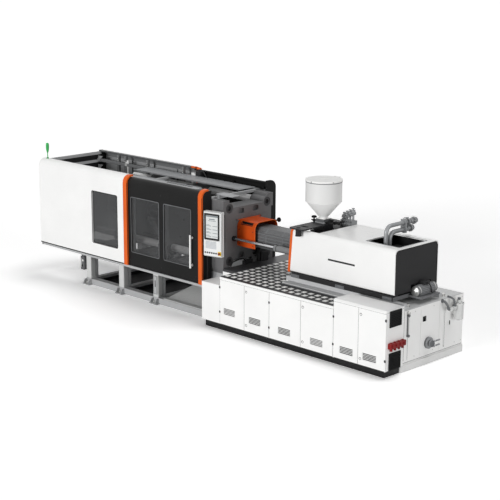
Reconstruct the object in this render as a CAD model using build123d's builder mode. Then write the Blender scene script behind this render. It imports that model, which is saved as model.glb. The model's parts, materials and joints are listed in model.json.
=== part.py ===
"""Horizontal toggle injection moulding machine.

Frame: millimetres. +X runs from the clamp end to the injection end, -Y is the operator's side,
+Z is up. The origin is on the floor, at the centre of the clamp bed's four outer anchor holes,
and y = 0 is the machine's centre plane, which holds the nozzle, the screw and the hopper.
"""

import os
from math import acos, asin, cos, degrees, radians, sin, sqrt

from build123d import *

# Clearances and fits
RUN = 0.05            # radial clearance of a shaft in its bore
SIDE = 1.0            # side gap between plates that swing past each other
SLIP = 10.0           # gap between sliding sheet metal and what it slides past
SEAT = 0.3            # gap left between pieces of different bodies that rest on each other

# Heights and centre line
AXIS_Z = 1440.0       # height of the nozzle and tie bar centre above the floor
BAR_PITCH = 890.0     # tie bar centre distance, both ways
BAR_R = 62.0          # tie bar radius
PLATEN_SIZE = 1200.0  # platen width and height over the corner bosses

# Clamp bed
LEG_PITCH = 930.0     # column to column along the bed
LEG_WIDE = 130.0      # column size along X
LEG_DEEP = 170.0      # column size along Y
BED_SIDE_Y = 699.0    # outer face of the base beams
BASE_BEAM_H = 110.0   # base beam height
BASE_BEAM_W = 120.0   # base beam width
BED_TOP_BEAM_H = 190.0   # top beam height
BED_OVERHANG = 85.0   # base beam past the first column's centre
BED_END_X = 2480.0    # right end of the clamp bed
PAD_REACH = 90.0      # anchor pad past the beam's outer face
PAD_WIDE = 190.0      # anchor pad size along X
PAD_THICK = 22.0      # anchor pad thickness
ANCHOR_R = 15.0       # anchor hole radius
GUSSET = 12.0         # gusset plate thickness

# Guards
GUARD_LEFT_X = -2215.0   # left end of both guards
GUARD_Y = 817.0       # outer face of the guards
GUARD_BOTTOM = 600.0  # lower edge of the guards
GUARD_TOP = 2198.0    # top of the guards
GUARD_ROUND = 130.0   # radius of the rounded top edge
GUARD_WALL = 28.0     # thickness of the guard panels, folded edges included
GUARD_LIP = 30.0      # flat lip behind the rounded top edge
PANEL_LENGTH = 2441.0    # white front panel
TRIM_LEFT_W = 96.0    # orange trim between panel and door
GUARD_PAST_FACE = 46.0   # front guard's right end past the stationary platen's mould face
TRIM_RIGHT_W = 90.0   # orange trim at the right of the door
DOOR_INSET = 38.0     # door face behind the guard face
DOOR_WALL = 26.0      # door thickness
DOOR_LAP = 12.0       # door edge hidden behind each trim
PANE_LEFT = 68.0      # safety door's left edge to its left window
PANE_RIGHT = 216.0    # safety door's right window to its right edge
PANE_BETWEEN = 125.0  # post between the door's two windows
PANE_SHARE = 0.518    # left window's share of the glazed width
WINDOW_ROUND = 28.0   # corner radius of the windows
REAR_PANEL_LENGTH = 2600.0   # rear panel
REAR_TRIM_W = 96.0    # orange trim on the rear guard
REAR_RIGHT_X = 2353.0    # right end of the rear guard
END_WALL_DEPTH = 225.0   # depth of the end walls
END_WALL = 30.0       # thickness of the end walls
REAR_LIP = 60.0       # flat lip of the rear guard
RAIL_SIZE = 45.0      # door rail section

# Control panel
PANEL_AHEAD = 99.0    # control panel's front left edge past the guard's right end
PANEL_OUT = 53.0      # control panel's front left edge in front of the guard
PANEL_Z = (1140.0, 1885.0)   # bottom and top of the control panel
PANEL_WIDE = 350.0    # width of the control panel
PANEL_THICK = 90.0    # thickness of the control panel
PANEL_TURN = 13.0     # panel turned away from the guard, degrees
PANEL_POST_AHEAD = 54.0  # axis of the panel's post past the guard's right end
PANEL_POST_IN = 62.0  # axis of the panel's post behind the guard's face
PANEL_POST_R = 18.0   # radius of the panel's post
PANEL_BRACKET = 20.0  # thickness of the post brackets
PANEL_BRACKET_Z = (1200.0, 1820.0)   # heights of the post brackets

# Platens and clamp
FIXED_FACE_X = 2185.0    # mould face of the stationary platen
FIXED_THICK = 320.0   # stationary platen thickness
MOVING_FACE_X = 1115.0   # mould face of the moving platen, mould open
MOVING_THICK = 240.0  # moving platen thickness
BOSS_R = 140.0        # corner boss radius
PLATEN_WAIST = 55.0   # platen edge set back between the bosses
PLATEN_DIP = 150.0    # stationary platen's top and bottom set back between its corner blocks
COLLAR_R = 92.0       # stationary platen's collar around each tie bar
CORNER_IN = 225.0     # height of the stationary platen's corner blocks
NUT_R = 78.0          # tie bar nut radius
NUT_LONG = 110.0      # tie bar nut length
LOCATING_R = 80.0     # locating ring bore radius
LOCATING_DEEP = 40.0  # locating ring bore depth
MOULD_BOLT_R = 12.0   # mould bolt hole radius
MOULD_BOLT_DEEP = 60.0   # mould bolt hole depth
MOULD_GRID = 560.0    # square mould bolt grid
MOULD_WIDE = 700.0    # outer mould bolt rows, spacing along Y
MOULD_HIGH = 210.0    # outer mould bolt rows, spacing along Z
CLAMP_STROKE = 680.0  # opening stroke of the moving platen
LINK_PIVOT_Z = 450.0  # height of the platen pivots above and below the axis
REAR_LINK = 370.0     # pivot distance of the rear link
FRONT_LINK = 540.0    # pivot distance of the front link
CROSS_LINK = 310.0    # pivot distance of the crosshead link
CROSS_HOLE = 0.45     # place of the crosshead pivot along the rear link
CROSS_PIVOT_Z = 150.0    # height of the crosshead pivots above and below the axis
LINK_EYE = 68.0       # radius of the link eyes
LINK_HALF = 46.0      # half width of the links
LINK_PIN_R = 38.0     # toggle pin radius
CROSS_PIN_R = 25.0    # crosshead pin radius
CROSS_EYE = 42.0      # crosshead link eye radius
CHEEK = 49.0          # thickness of each link plate
REAR_PLATE_Y = 150.0  # inner face of the rear link plates
FRONT_PLATE_Y = 201.0    # inner face of the front link plates and the tail lugs
LUG_REACH = 415.0     # moving platen pivot behind its mould face
TAIL_REACH = 430.0    # tail platen pivot in front of its wall
TAIL_THICK = 260.0    # tail platen thickness
CYLINDER_R = 170.0    # clamp cylinder radius
CYLINDER_LONG = 820.0    # clamp cylinder length
ROD_R = 45.0          # clamp piston rod radius
GUIDE_R = 24.0        # crosshead guide rod radius
GUIDE_Y = 70.0        # crosshead guide rod distance from the centre plane

# Injection side
BED_AHEAD = 55.0      # injection bed's left end past the clamp bed's right end
BED_RIGHT_X = 6283.0  # right end of the injection bed
BED_FRONT_Y = -625.0  # front of the injection bed
BED_REAR_Y = 897.0    # rear of the injection bed
TANK_TOP = 933.0      # top of the injection bed
CABINET_FRONT = -1054.0  # front of the cabinet doors
CABINET_BOTTOM = 131.0   # bottom of the cabinets
CABINET_TOP = 900.0   # top of the main cabinets
TREAD_THICK = 14.0    # tread platform thickness
NARROW_AHEAD = 3.0    # narrow front box's left end past the clamp bed's right end
NARROW_TOP = 769.0    # top of the narrow front box
CABINET_LEFT_X = 2904.0  # left end of the main cabinets
DOOR_WIDTHS = (557.0, 549.0, 668.0, 661.0)   # main cabinet doors, left to right
RAISED_WIDTHS = (486.0, 519.0)   # raised cabinet doors, left to right
RAISED_TOP = 1040.0   # top of the raised cabinet
RAISED_REAR = -645.0  # rear of the raised cabinet
SHEET = 20.0          # cabinet sheet thickness, folded edges included
DOOR_GAP = 3.0        # gap around each cabinet door
PLINTH_SET = 79.0     # plinth set back from the doors
LIP = 6.0             # white lip in front of the tread platform
TREAD_REAR_Y = 650.0  # rear edge of the tread platform
DOOR_SEAT = 2.0       # gap between a cabinet door and its frame
TANK_SEAM_Y = (-162.0, 298.0, 400.0)   # panel seams on the tank's end face
TANK_SLOT_Y = (487.0, 564.0)   # two slots on the tank's end face
SEAM = 6.0            # width and depth of a panel seam
COVER_LEFT_X = 3901.0    # left end of the injection cover
COVER_RIGHT_X = 6050.0   # right end of the injection cover
COVER_Y = 519.0       # half width of the injection cover
COVER_BOTTOM = 1086.0    # bottom of the injection cover
COVER_TOP = 1798.0    # top of the injection cover
COVER_ROUND = 62.0    # corner radius of the injection cover
COVER_WALL = 18.0     # wall of the injection cover
COVER_STEP_X = 4495.0    # left end of the cover's top
TOP_HOLE_X = (5340.0, 5970.0)    # top opening of the cover
TOP_HOLE_Y = 333.0    # half width of the top opening
HOPPER_X = 4175.0     # hopper axis
HOPPER_R = 290.0      # hopper radius
HOPPER_WALL = 5.0     # hopper wall
HOPPER_NECK_R = 50.0  # hopper outlet radius
HOPPER_FOOT = 70.0    # height of the hopper's foot block
HOPPER_CONE = 278.0   # height of the hopper's cone
HOPPER_STRAIGHT = 327.0  # height of the hopper's cylinder
HOPPER_LID = 35.0     # height of the hopper lid
SLIDE_RISE = 150.0    # top of the hopper slide plate above the feed block
SLIDE_THICK = 22.0    # hopper slide plate thickness
SLIDE_WIDE = 300.0    # hopper slide plate width
THROAT_Z = 1700.0     # top of the feed block
SCREW_R = 35.0        # screw radius
BARREL_R = 85.0       # barrel radius
BAND_R = 102.0        # heater band radius
NOZZLE_R = 42.0       # nozzle radius

# Worked out from the sizes above
HALF_PITCH = BAR_PITCH / 2
HALF_PLATEN = PLATEN_SIZE / 2
FIXED_BACK_X = FIXED_FACE_X + FIXED_THICK
NUT_SEAT_X = FIXED_BACK_X - NUT_LONG
MOVING_PIVOT_X = MOVING_FACE_X - LUG_REACH
OPEN_SPAN = REAR_LINK + FRONT_LINK - CLAMP_STROKE
TAIL_PIVOT_X = MOVING_PIVOT_X - OPEN_SPAN
TAIL_FRONT_X = TAIL_PIVOT_X - TAIL_REACH
TAIL_BACK_X = TAIL_FRONT_X - TAIL_THICK
REAR_ANGLE = degrees(acos((REAR_LINK**2 + OPEN_SPAN**2 - FRONT_LINK**2) / (2 * REAR_LINK * OPEN_SPAN)))
CROSS_TOP_X = TAIL_PIVOT_X + CROSS_HOLE * REAR_LINK * cos(radians(REAR_ANGLE))
CROSS_TOP_Z = LINK_PIVOT_Z - CROSS_HOLE * REAR_LINK * sin(radians(REAR_ANGLE))
CROSS_RISE = CROSS_TOP_Z - CROSS_PIVOT_Z
CROSS_X = CROSS_TOP_X - sqrt(CROSS_LINK**2 - CROSS_RISE**2)
CROSS_SHUT_RISE = LINK_PIVOT_Z - CROSS_PIVOT_Z
CROSS_SHUT_X = TAIL_PIVOT_X + CROSS_HOLE * REAR_LINK - sqrt(CROSS_LINK**2 - CROSS_SHUT_RISE**2)

BED_LEFT_X = BED_END_X + BED_AHEAD
NARROW_LEFT_X = BED_END_X + NARROW_AHEAD
TRIM_X = GUARD_LEFT_X + PANEL_LENGTH
DOOR_X = TRIM_X + TRIM_LEFT_W
GUARD_RIGHT_X = FIXED_FACE_X + GUARD_PAST_FACE
DOOR_END_X = GUARD_RIGHT_X - TRIM_RIGHT_W
DOOR_Y = GUARD_Y - DOOR_INSET
REAR_TRIM_X = GUARD_LEFT_X + REAR_PANEL_LENGTH
REAR_DOOR_X = REAR_TRIM_X + REAR_TRIM_W
REAR_DOOR_END_X = REAR_RIGHT_X - END_WALL - SIDE
PANEL_X = GUARD_RIGHT_X + PANEL_AHEAD
PANEL_Y = -GUARD_Y - PANEL_OUT
PANEL_POST_X = GUARD_RIGHT_X + PANEL_POST_AHEAD
PANEL_POST_Y = -GUARD_Y + PANEL_POST_IN
SLIDE_TOP_Z = THROAT_Z + SLIDE_RISE
HOPPER_NECK_Z = SLIDE_TOP_Z + HOPPER_FOOT
HOPPER_CONE_Z = HOPPER_NECK_Z + HOPPER_CONE
HOPPER_RIM_Z = HOPPER_CONE_Z + HOPPER_STRAIGHT
HOPPER_LID_Z = HOPPER_RIM_Z + HOPPER_LID

os.makedirs("parts", exist_ok=True)


def keep(builder, name):
    """Label a finished piece and write its file."""
    builder.part.label = name
    export_step(builder.part, f"parts/{name}.step")


def block(x, y, z, mode=Mode.ADD):
    """A box between two limits on each axis."""
    with Locations(((x[0] + x[1]) / 2, (y[0] + y[1]) / 2, (z[0] + z[1]) / 2)):
        Box(abs(x[1] - x[0]), abs(y[1] - y[0]), abs(z[1] - z[0]), mode=mode)


def bar_x(x, y, z, radius, mode=Mode.ADD):
    """A round bar along X between two limits."""
    with Locations(((x[0] + x[1]) / 2, y, z)):
        Cylinder(radius, abs(x[1] - x[0]), rotation=(0, 90, 0), mode=mode)


def bar_y(x, y, z, radius, mode=Mode.ADD):
    """A round bar along Y between two limits."""
    with Locations((x, (y[0] + y[1]) / 2, z)):
        Cylinder(radius, abs(y[1] - y[0]), rotation=(90, 0, 0), mode=mode)


def bar_z(x, y, z, radius, mode=Mode.ADD):
    """A round bar along Z between two limits."""
    with Locations((x, y, (z[0] + z[1]) / 2)):
        Cylinder(radius, abs(z[1] - z[0]), mode=mode)


def hood(x, side, inset=0.0, wall=GUARD_WALL, lip=GUARD_LIP, bottom=GUARD_BOTTOM):
    """A length of guard sheet between two X limits: upright, rounded over at the top, with a lip."""
    face = GUARD_Y - inset
    top = GUARD_TOP - inset
    radius = GUARD_ROUND - inset
    outer = side * face
    inner = side * (face - wall)
    turn = side * (face - radius)
    end = side * (face - radius - lip)
    low_arc = radius - wall
    with BuildSketch(Plane.YZ.offset(x[0])) as outline:
        with BuildLine():
            Line((outer, bottom), (outer, top - radius))
            CenterArc((turn, top - radius), radius, 0 if side > 0 else 90, 90)
            Line((turn, top), (end, top))
            Line((end, top), (end, top - wall))
            Line((end, top - wall), (turn, top - wall))
            CenterArc((turn, top - radius), low_arc, 0 if side > 0 else 90, 90)
            Line((inner, top - radius), (inner, bottom))
            Line((inner, bottom), (outer, bottom))
        make_face()
    extrude(outline.sketch, amount=x[1] - x[0])


def platen_outline():
    """Platen outline in Y and Z: a square with round bosses at the tie bars and shallow waists."""
    waist = PLATEN_SIZE - 2 * PLATEN_WAIST
    with Locations((0, AXIS_Z)):
        Rectangle(waist, waist)
        with GridLocations(BAR_PITCH, BAR_PITCH, 2, 2):
            Circle(BOSS_R)
            Rectangle(1.1 * BOSS_R, 1.1 * BOSS_R)


def fixed_platen_outline():
    """Stationary platen outline in Y and Z: low between collars and outer corner blocks."""
    with Locations((0, AXIS_Z)):
        Rectangle(PLATEN_SIZE - 2 * PLATEN_WAIST, PLATEN_SIZE - 2 * PLATEN_DIP)
        with GridLocations(BAR_PITCH, BAR_PITCH, 2, 2):
            Circle(COLLAR_R)
    block_y = (BAR_PITCH + BOSS_R) / 2
    block_z = (BAR_PITCH - CORNER_IN) / 2 + BOSS_R
    for side in (-1, 1):
        for level in (-1, 1):
            with Locations((side * block_y, AXIS_Z + level * block_z)):
                Rectangle(BOSS_R, CORNER_IN)


def tie_bar_holes(x):
    """Clearance holes for the four tie bars."""
    for side in (-1, 1):
        for level in (-1, 1):
            bar_x(x, side * HALF_PITCH, AXIS_Z + level * HALF_PITCH, BAR_R + RUN, Mode.SUBTRACT)


def mould_holes(face_x, into):
    """Locating ring bore and mould bolt holes on a mould face."""
    bar_x((face_x, face_x + into * LOCATING_DEEP), 0, AXIS_Z, LOCATING_R, Mode.SUBTRACT)
    for wide, high in ((MOULD_GRID, MOULD_GRID), (MOULD_WIDE, MOULD_HIGH)):
        for side in (-1, 1):
            for level in (-1, 1):
                y = side * wide / 2
                z = AXIS_Z + level * high / 2
                bar_x((face_x, face_x + into * MOULD_BOLT_DEEP), y, z, MOULD_BOLT_R, Mode.SUBTRACT)


# Clamp bed: base beams, columns, top beams, cross beams and anchor pads
LEG_XS = (-LEG_PITCH, 0.0, LEG_PITCH)
BED_LEFT = -LEG_PITCH - BED_OVERHANG
TOP_BEAM_Z = (GUARD_BOTTOM, GUARD_BOTTOM + BED_TOP_BEAM_H)
BEAM_IN_Y = BED_SIDE_Y - BASE_BEAM_W
LEG_IN_Y = BED_SIDE_Y - LEG_DEEP
TOP_OUT_Y = LEG_IN_Y + 25.0   # outer face of the top beams
TOP_IN_Y = TOP_OUT_Y - 150.0  # inner face of the top beams
CROSS_W = 120.0       # cross beam width
PAD_Y = BED_SIDE_Y + PAD_REACH / 2
PEDESTAL_X = (FIXED_FACE_X + 40.0, BED_END_X)

with BuildPart() as clamp_bed:
    for side in (-1, 1):
        rail_y = (side * BEAM_IN_Y, side * BED_SIDE_Y)
        block((BED_LEFT, BED_END_X), rail_y, (0, BASE_BEAM_H))
        block((BED_LEFT, BED_END_X), (side * TOP_IN_Y, side * TOP_OUT_Y), TOP_BEAM_Z)
        for leg_x in LEG_XS:
            leg = (leg_x - LEG_WIDE / 2, leg_x + LEG_WIDE / 2)
            web = (side * (LEG_IN_Y + 30), side * (BED_SIDE_Y - 30))
            block(leg, (side * LEG_IN_Y, side * BED_SIDE_Y), (BASE_BEAM_H, GUARD_BOTTOM))
            block((leg[1] - 35, leg[1]), web, (BASE_BEAM_H + 20, GUARD_BOTTOM - 20), Mode.SUBTRACT)
            block((leg[0], leg[0] + 35), web, (BASE_BEAM_H + 20, GUARD_BOTTOM - 20), Mode.SUBTRACT)
            pad = (leg_x - PAD_WIDE / 2, leg_x + PAD_WIDE / 2)
            block(pad, (side * BED_SIDE_Y, side * (BED_SIDE_Y + PAD_REACH)), (0, PAD_THICK))
            for edge in (-1, 1):
                plate_x = leg_x + edge * (PAD_WIDE / 2 - 30)
                with BuildSketch(Plane.YZ.offset(plate_x - GUSSET / 2)):
                    with BuildLine():
                        Polyline(
                            (side * BED_SIDE_Y, PAD_THICK),
                            (side * (BED_SIDE_Y + PAD_REACH), PAD_THICK),
                            (side * (BED_SIDE_Y + PAD_REACH * 0.55), BASE_BEAM_H - 12),
                            (side * BED_SIDE_Y, BASE_BEAM_H - 12),
                            close=True,
                        )
                    make_face()
                extrude(amount=GUSSET)
            bar_z(leg_x, side * PAD_Y, (0, PAD_THICK), ANCHOR_R, Mode.SUBTRACT)
    for cross_x in (*LEG_XS, BED_END_X - CROSS_W / 2):
        cross = (cross_x - CROSS_W / 2, cross_x + CROSS_W / 2)
        block(cross, (-BEAM_IN_Y, BEAM_IN_Y), (0, BASE_BEAM_H))
        block(cross, (-TOP_IN_Y, TOP_IN_Y), (TOP_BEAM_Z[0], TOP_BEAM_Z[1] - 60))
    for side in (-1, 1):
        block(PEDESTAL_X, (side * TOP_IN_Y, side * BEAM_IN_Y), (0, GUARD_BOTTOM))
keep(clamp_bed, "clamp_bed")

# Drip trays between the base beams, and the inclined product chute panel
TRAY_WALL = 6.0
TRAY_Z = (4.0, 64.0)
with BuildPart() as drip_trays:
    for left, right in ((LEG_XS[0], LEG_XS[1]), (LEG_XS[1], LEG_XS[2])):
        tray_x = (left + CROSS_W / 2, right - CROSS_W / 2)
        block(tray_x, (-BEAM_IN_Y, BEAM_IN_Y), TRAY_Z)
        inner_x = (tray_x[0] + TRAY_WALL, tray_x[1] - TRAY_WALL)
        inner_y = (-BEAM_IN_Y + TRAY_WALL, BEAM_IN_Y - TRAY_WALL)
        block(inner_x, inner_y, (TRAY_Z[0] + TRAY_WALL, TRAY_Z[1]), Mode.SUBTRACT)
keep(drip_trays, "drip_trays")

CHUTE_X = (LEG_XS[2] + CROSS_W / 2 + 120.0, PEDESTAL_X[0] - 20.0)
CHUTE_Z = (BASE_BEAM_H - 30.0, 330.0)
with BuildPart() as product_chute:
    with BuildSketch(Plane.YZ.offset(CHUTE_X[0])):
        with BuildLine():
            Polyline(
                (-BED_SIDE_Y + 20, BASE_BEAM_H),
                (-BEAM_IN_Y + 20, BASE_BEAM_H),
                (BEAM_IN_Y - 4, CHUTE_Z[1]),
                (BEAM_IN_Y - 4, CHUTE_Z[1] + 12),
                (-BEAM_IN_Y + 18, BASE_BEAM_H + 12),
                (-BED_SIDE_Y + 20, BASE_BEAM_H + 12),
                close=True,
            )
        make_face()
    extrude(amount=CHUTE_X[1] - CHUTE_X[0])
keep(product_chute, "product_chute")

# Front guard: one folded sheet with a window opening, and the tinted pane behind it
WINDOW_X = (TRIM_X - 875.0, TRIM_X - 165.0)
WINDOW_Z = (GUARD_BOTTOM + 255.0, GUARD_TOP - 393.0)
WINDOW_LAP = 22.0
PANE = 6.0
THROUGH = 5.0         # how far a cutting tool passes each face
with BuildPart() as front_guard:
    hood((GUARD_LEFT_X, TRIM_X), -1)
    with BuildSketch(Plane.XZ.offset(GUARD_Y - GUARD_WALL - THROUGH)):
        with Locations((sum(WINDOW_X) / 2, sum(WINDOW_Z) / 2)):
            RectangleRounded(WINDOW_X[1] - WINDOW_X[0], WINDOW_Z[1] - WINDOW_Z[0], WINDOW_ROUND)
    extrude(amount=GUARD_WALL + 2 * THROUGH, mode=Mode.SUBTRACT)
    pane_x = (WINDOW_X[0] - WINDOW_LAP, WINDOW_X[1] + WINDOW_LAP)
    pane_z = (WINDOW_Z[0] - WINDOW_LAP, WINDOW_Z[1] + WINDOW_LAP)
    block(pane_x, (-GUARD_Y + GUARD_WALL - PANE, -GUARD_Y + GUARD_WALL), pane_z, Mode.SUBTRACT)
keep(front_guard, "front_guard")

with BuildPart() as guard_window:
    block(pane_x, (-GUARD_Y + GUARD_WALL - PANE, -GUARD_Y + GUARD_WALL), pane_z)
keep(guard_window, "guard_window")

# Orange trims beside the doors
with BuildPart() as guard_trims:
    hood((TRIM_X, DOOR_X), -1, wall=GUARD_WALL)
    hood((DOOR_END_X, GUARD_RIGHT_X), -1, wall=GUARD_WALL)
    hood((REAR_TRIM_X, REAR_DOOR_X), 1, wall=GUARD_WALL)
keep(guard_trims, "guard_trims")

# Dark end walls at the injection side of both guards, with the control panel's post
POST_MARGIN = 4.0     # bracket past the post it holds
with BuildPart() as guard_end_walls:
    for side, wall_x, inset in ((-1, GUARD_RIGHT_X, GUARD_WALL), (1, REAR_RIGHT_X, 0.0)):
        with BuildSketch(Plane.YZ.offset(wall_x - END_WALL)):
            face = GUARD_Y - inset
            turn = GUARD_ROUND - inset
            top = GUARD_TOP - inset
            back = GUARD_Y - END_WALL_DEPTH
            with BuildLine():
                Line((side * face, GUARD_BOTTOM), (side * face, top - turn))
                CenterArc((side * (face - turn), top - turn), turn, 0 if side > 0 else 90, 90)
                Line((side * (face - turn), top), (side * back, top))
                Line((side * back, top), (side * back, GUARD_BOTTOM))
                Line((side * back, GUARD_BOTTOM), (side * face, GUARD_BOTTOM))
            make_face()
        extrude(amount=END_WALL)
    bracket_r = PANEL_POST_R + POST_MARGIN
    bracket_y = (PANEL_POST_Y - bracket_r, PANEL_POST_Y + bracket_r)
    for level in PANEL_BRACKET_Z:
        block((GUARD_RIGHT_X, PANEL_POST_X + bracket_r), bracket_y, (level, level + PANEL_BRACKET))
    bar_z(PANEL_POST_X, PANEL_POST_Y, PANEL_BRACKET_Z, PANEL_POST_R)
keep(guard_end_walls, "guard_end_walls")

# Rear guard: the folded sheet left of the rear door
with BuildPart() as rear_guard:
    hood((GUARD_LEFT_X, REAR_TRIM_X), 1, lip=REAR_LIP)
keep(rear_guard, "rear_guard")

# Guard frame: end panel, posts, door rails, top rails, end rails and cross members
POST = 50.0
END_SHEET = 12.0
FRAME_Y = GUARD_Y - GUARD_WALL
POST_IN_Y = HALF_PITCH + BOSS_R + 13.0
POST_Y = (POST_IN_Y, POST_IN_Y + POST)
DOOR_BACK_Y = DOOR_Y - DOOR_WALL
DOOR_RAIL_LOW = GUARD_TOP - 228.0
DOOR_RAIL_Z = (DOOR_RAIL_LOW, DOOR_RAIL_LOW + RAIL_SIZE)
DOOR_RAIL_Y = (DOOR_BACK_Y - SLIP - RAIL_SIZE, DOOR_BACK_Y - SLIP)
LOW_RAIL_Z = (GUARD_BOTTOM - RAIL_SIZE, GUARD_BOTTOM - SLIP / 2)
FRONT_RAIL_Z = (GUARD_TOP - 78.0 - POST, GUARD_TOP - 78.0)
REAR_RAIL_Z = (GUARD_TOP - 153.0 - POST, GUARD_TOP - 153.0)
FRONT_POSTS = (TRIM_X + 49.0, GUARD_RIGHT_X - END_WALL - POST / 2)
REAR_POSTS = (GUARD_LEFT_X + 605.0, GUARD_LEFT_X + 812.0, GUARD_LEFT_X + 1447.0, REAR_TRIM_X - 165.0)
MEMBER_FROM_POST = (-36.0, 4.0)   # cross members from the front posts' centres
with BuildPart() as guard_frame:
    with BuildSketch(Plane.YZ.offset(GUARD_LEFT_X)):
        panel_top = GUARD_TOP - GUARD_WALL
        turn = GUARD_ROUND - GUARD_WALL
        with BuildLine():
            Line((-FRAME_Y, GUARD_BOTTOM), (-FRAME_Y, panel_top - turn))
            CenterArc((-FRAME_Y + turn, panel_top - turn), turn, 90, 90)
            Line((-FRAME_Y + turn, panel_top), (FRAME_Y - turn, panel_top))
            CenterArc((FRAME_Y - turn, panel_top - turn), turn, 0, 90)
            Line((FRAME_Y, panel_top - turn), (FRAME_Y, GUARD_BOTTOM))
            Line((FRAME_Y, GUARD_BOTTOM), (-FRAME_Y, GUARD_BOTTOM))
        make_face()
    extrude(amount=END_SHEET)
    for level in (panel_top - POST, panel_top - 4 * POST):
        block((GUARD_LEFT_X, GUARD_LEFT_X + POST), (-POST_Y[1], POST_Y[1]), (level, level + POST))
    for side, last, posts in ((-1, GUARD_RIGHT_X, FRONT_POSTS), (1, REAR_RIGHT_X, REAR_POSTS)):
        inner = last - END_WALL
        block((GUARD_LEFT_X, inner), (side * DOOR_RAIL_Y[0], side * DOOR_RAIL_Y[1]), DOOR_RAIL_Z)
        block((GUARD_LEFT_X, last), (side * BED_SIDE_Y, side * FRAME_Y), LOW_RAIL_Z)
        for foot in ((GUARD_LEFT_X, GUARD_LEFT_X + POST), (last - END_WALL, last)):
            block(foot, (side * BED_SIDE_Y, side * FRAME_Y), (LOW_RAIL_Z[1], GUARD_BOTTOM))
        for post_x in posts:
            post = (post_x - POST / 2, post_x + POST / 2)
            post_top = FRONT_RAIL_Z[0] if side < 0 else GUARD_TOP - GUARD_WALL
            block(post, (side * POST_Y[0], side * POST_Y[1]), (LOW_RAIL_Z[0], post_top))
            block(post, (side * POST_Y[0], side * BED_SIDE_Y), LOW_RAIL_Z)
            block(post, (side * POST_Y[1], side * DOOR_RAIL_Y[0]), DOOR_RAIL_Z)
    block((GUARD_LEFT_X, GUARD_RIGHT_X - END_WALL), (-POST_Y[1], -POST_Y[0]), FRONT_RAIL_Z)
    rear_rail_end = FRONT_POSTS[1] + MEMBER_FROM_POST[1]
    block((GUARD_LEFT_X, rear_rail_end), (POST_Y[0] - POST, POST_Y[0]), REAR_RAIL_Z)
    for post_x in FRONT_POSTS:
        member = (post_x + MEMBER_FROM_POST[0], post_x + MEMBER_FROM_POST[1])
        block(member, (-POST_Y[0], POST_Y[0] - POST), (REAR_RAIL_Z[1] - RAIL_SIZE, REAR_RAIL_Z[1]))
keep(guard_frame, "guard_frame")

# Signal lamp on the front guard's left end
LAMP_X = GUARD_LEFT_X + 118.0
LAMP_Y = -(GUARD_Y - GUARD_ROUND)
LAMP_STEM_Z = (GUARD_TOP, GUARD_TOP + 119.0)
LAMP_HIGH = 174.0     # height of the lamp over its stem
LAMP_TOP_Z = LAMP_STEM_Z[1] + LAMP_HIGH
LAMP_R = 30.0
LAMP_FOOT_R = 26.0
LAMP_FOOT = 12.0
LAMP_STEM_R = 9.0
LAMP_BASE_R = 16.0
LAMP_BULGE = 0.46     # share of the lamp's height where it is full width
with BuildPart() as beacon:
    with Locations((LAMP_X, LAMP_Y, GUARD_TOP)):
        Cylinder(LAMP_FOOT_R, LAMP_FOOT, align=(Align.CENTER, Align.CENTER, Align.MIN))
    bar_z(LAMP_X, LAMP_Y, LAMP_STEM_Z, LAMP_STEM_R)
    with BuildSketch(Plane.XZ.offset(-LAMP_Y)):
        with BuildLine():
            Line((LAMP_X, LAMP_STEM_Z[1]), (LAMP_X + LAMP_BASE_R, LAMP_STEM_Z[1]))
            Spline(
                (LAMP_X + LAMP_BASE_R, LAMP_STEM_Z[1]),
                (LAMP_X + LAMP_R, LAMP_STEM_Z[1] + LAMP_BULGE * LAMP_HIGH),
                (LAMP_X + LAMP_R, LAMP_TOP_Z - LAMP_R),
                tangents=((0.3, 1), (0, 1)),
            )
            CenterArc((LAMP_X, LAMP_TOP_Z - LAMP_R), LAMP_R, 0, 90)
            Line((LAMP_X, LAMP_TOP_Z), (LAMP_X, LAMP_STEM_Z[1]))
        make_face()
    revolve(axis=Axis((LAMP_X, LAMP_Y, 0), (0, 0, 1)))
keep(beacon, "beacon")

# Lubrication unit hung under the front guard, beside the first column
LUBE_GAP = 25.0       # gap between the unit and the column
LUBE_SIZE = (110.0, 99.0)         # size along X and Y
LUBE_OUT = 40.0       # front of the unit past the base beam
LUBE_ROUND = 18.0
LUBE_HANGER = 40.0    # width of the hanger plate along Y
LUBE_RIGHT = LEG_XS[0] - LEG_WIDE / 2 - LUBE_GAP
LUBE_X = (LUBE_RIGHT - LUBE_SIZE[0], LUBE_RIGHT)
LUBE_Y = (-BED_SIDE_Y - LUBE_OUT, -BED_SIDE_Y - LUBE_OUT + LUBE_SIZE[1])
LUBE_Z = (255.0, LOW_RAIL_Z[0] - 60.0)
with BuildPart() as lubrication_unit:
    block(LUBE_X, LUBE_Y, LUBE_Z)
    fillet(lubrication_unit.edges().filter_by(Axis.Z), LUBE_ROUND)
    hanger_y = (LUBE_Y[0] + LUBE_ROUND, LUBE_Y[0] + LUBE_ROUND + LUBE_HANGER)
    block((LUBE_X[0] + LUBE_ROUND, LUBE_X[1] - LUBE_ROUND), hanger_y, (LUBE_Z[1], LOW_RAIL_Z[0]))
keep(lubrication_unit, "lubrication_unit")

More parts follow.
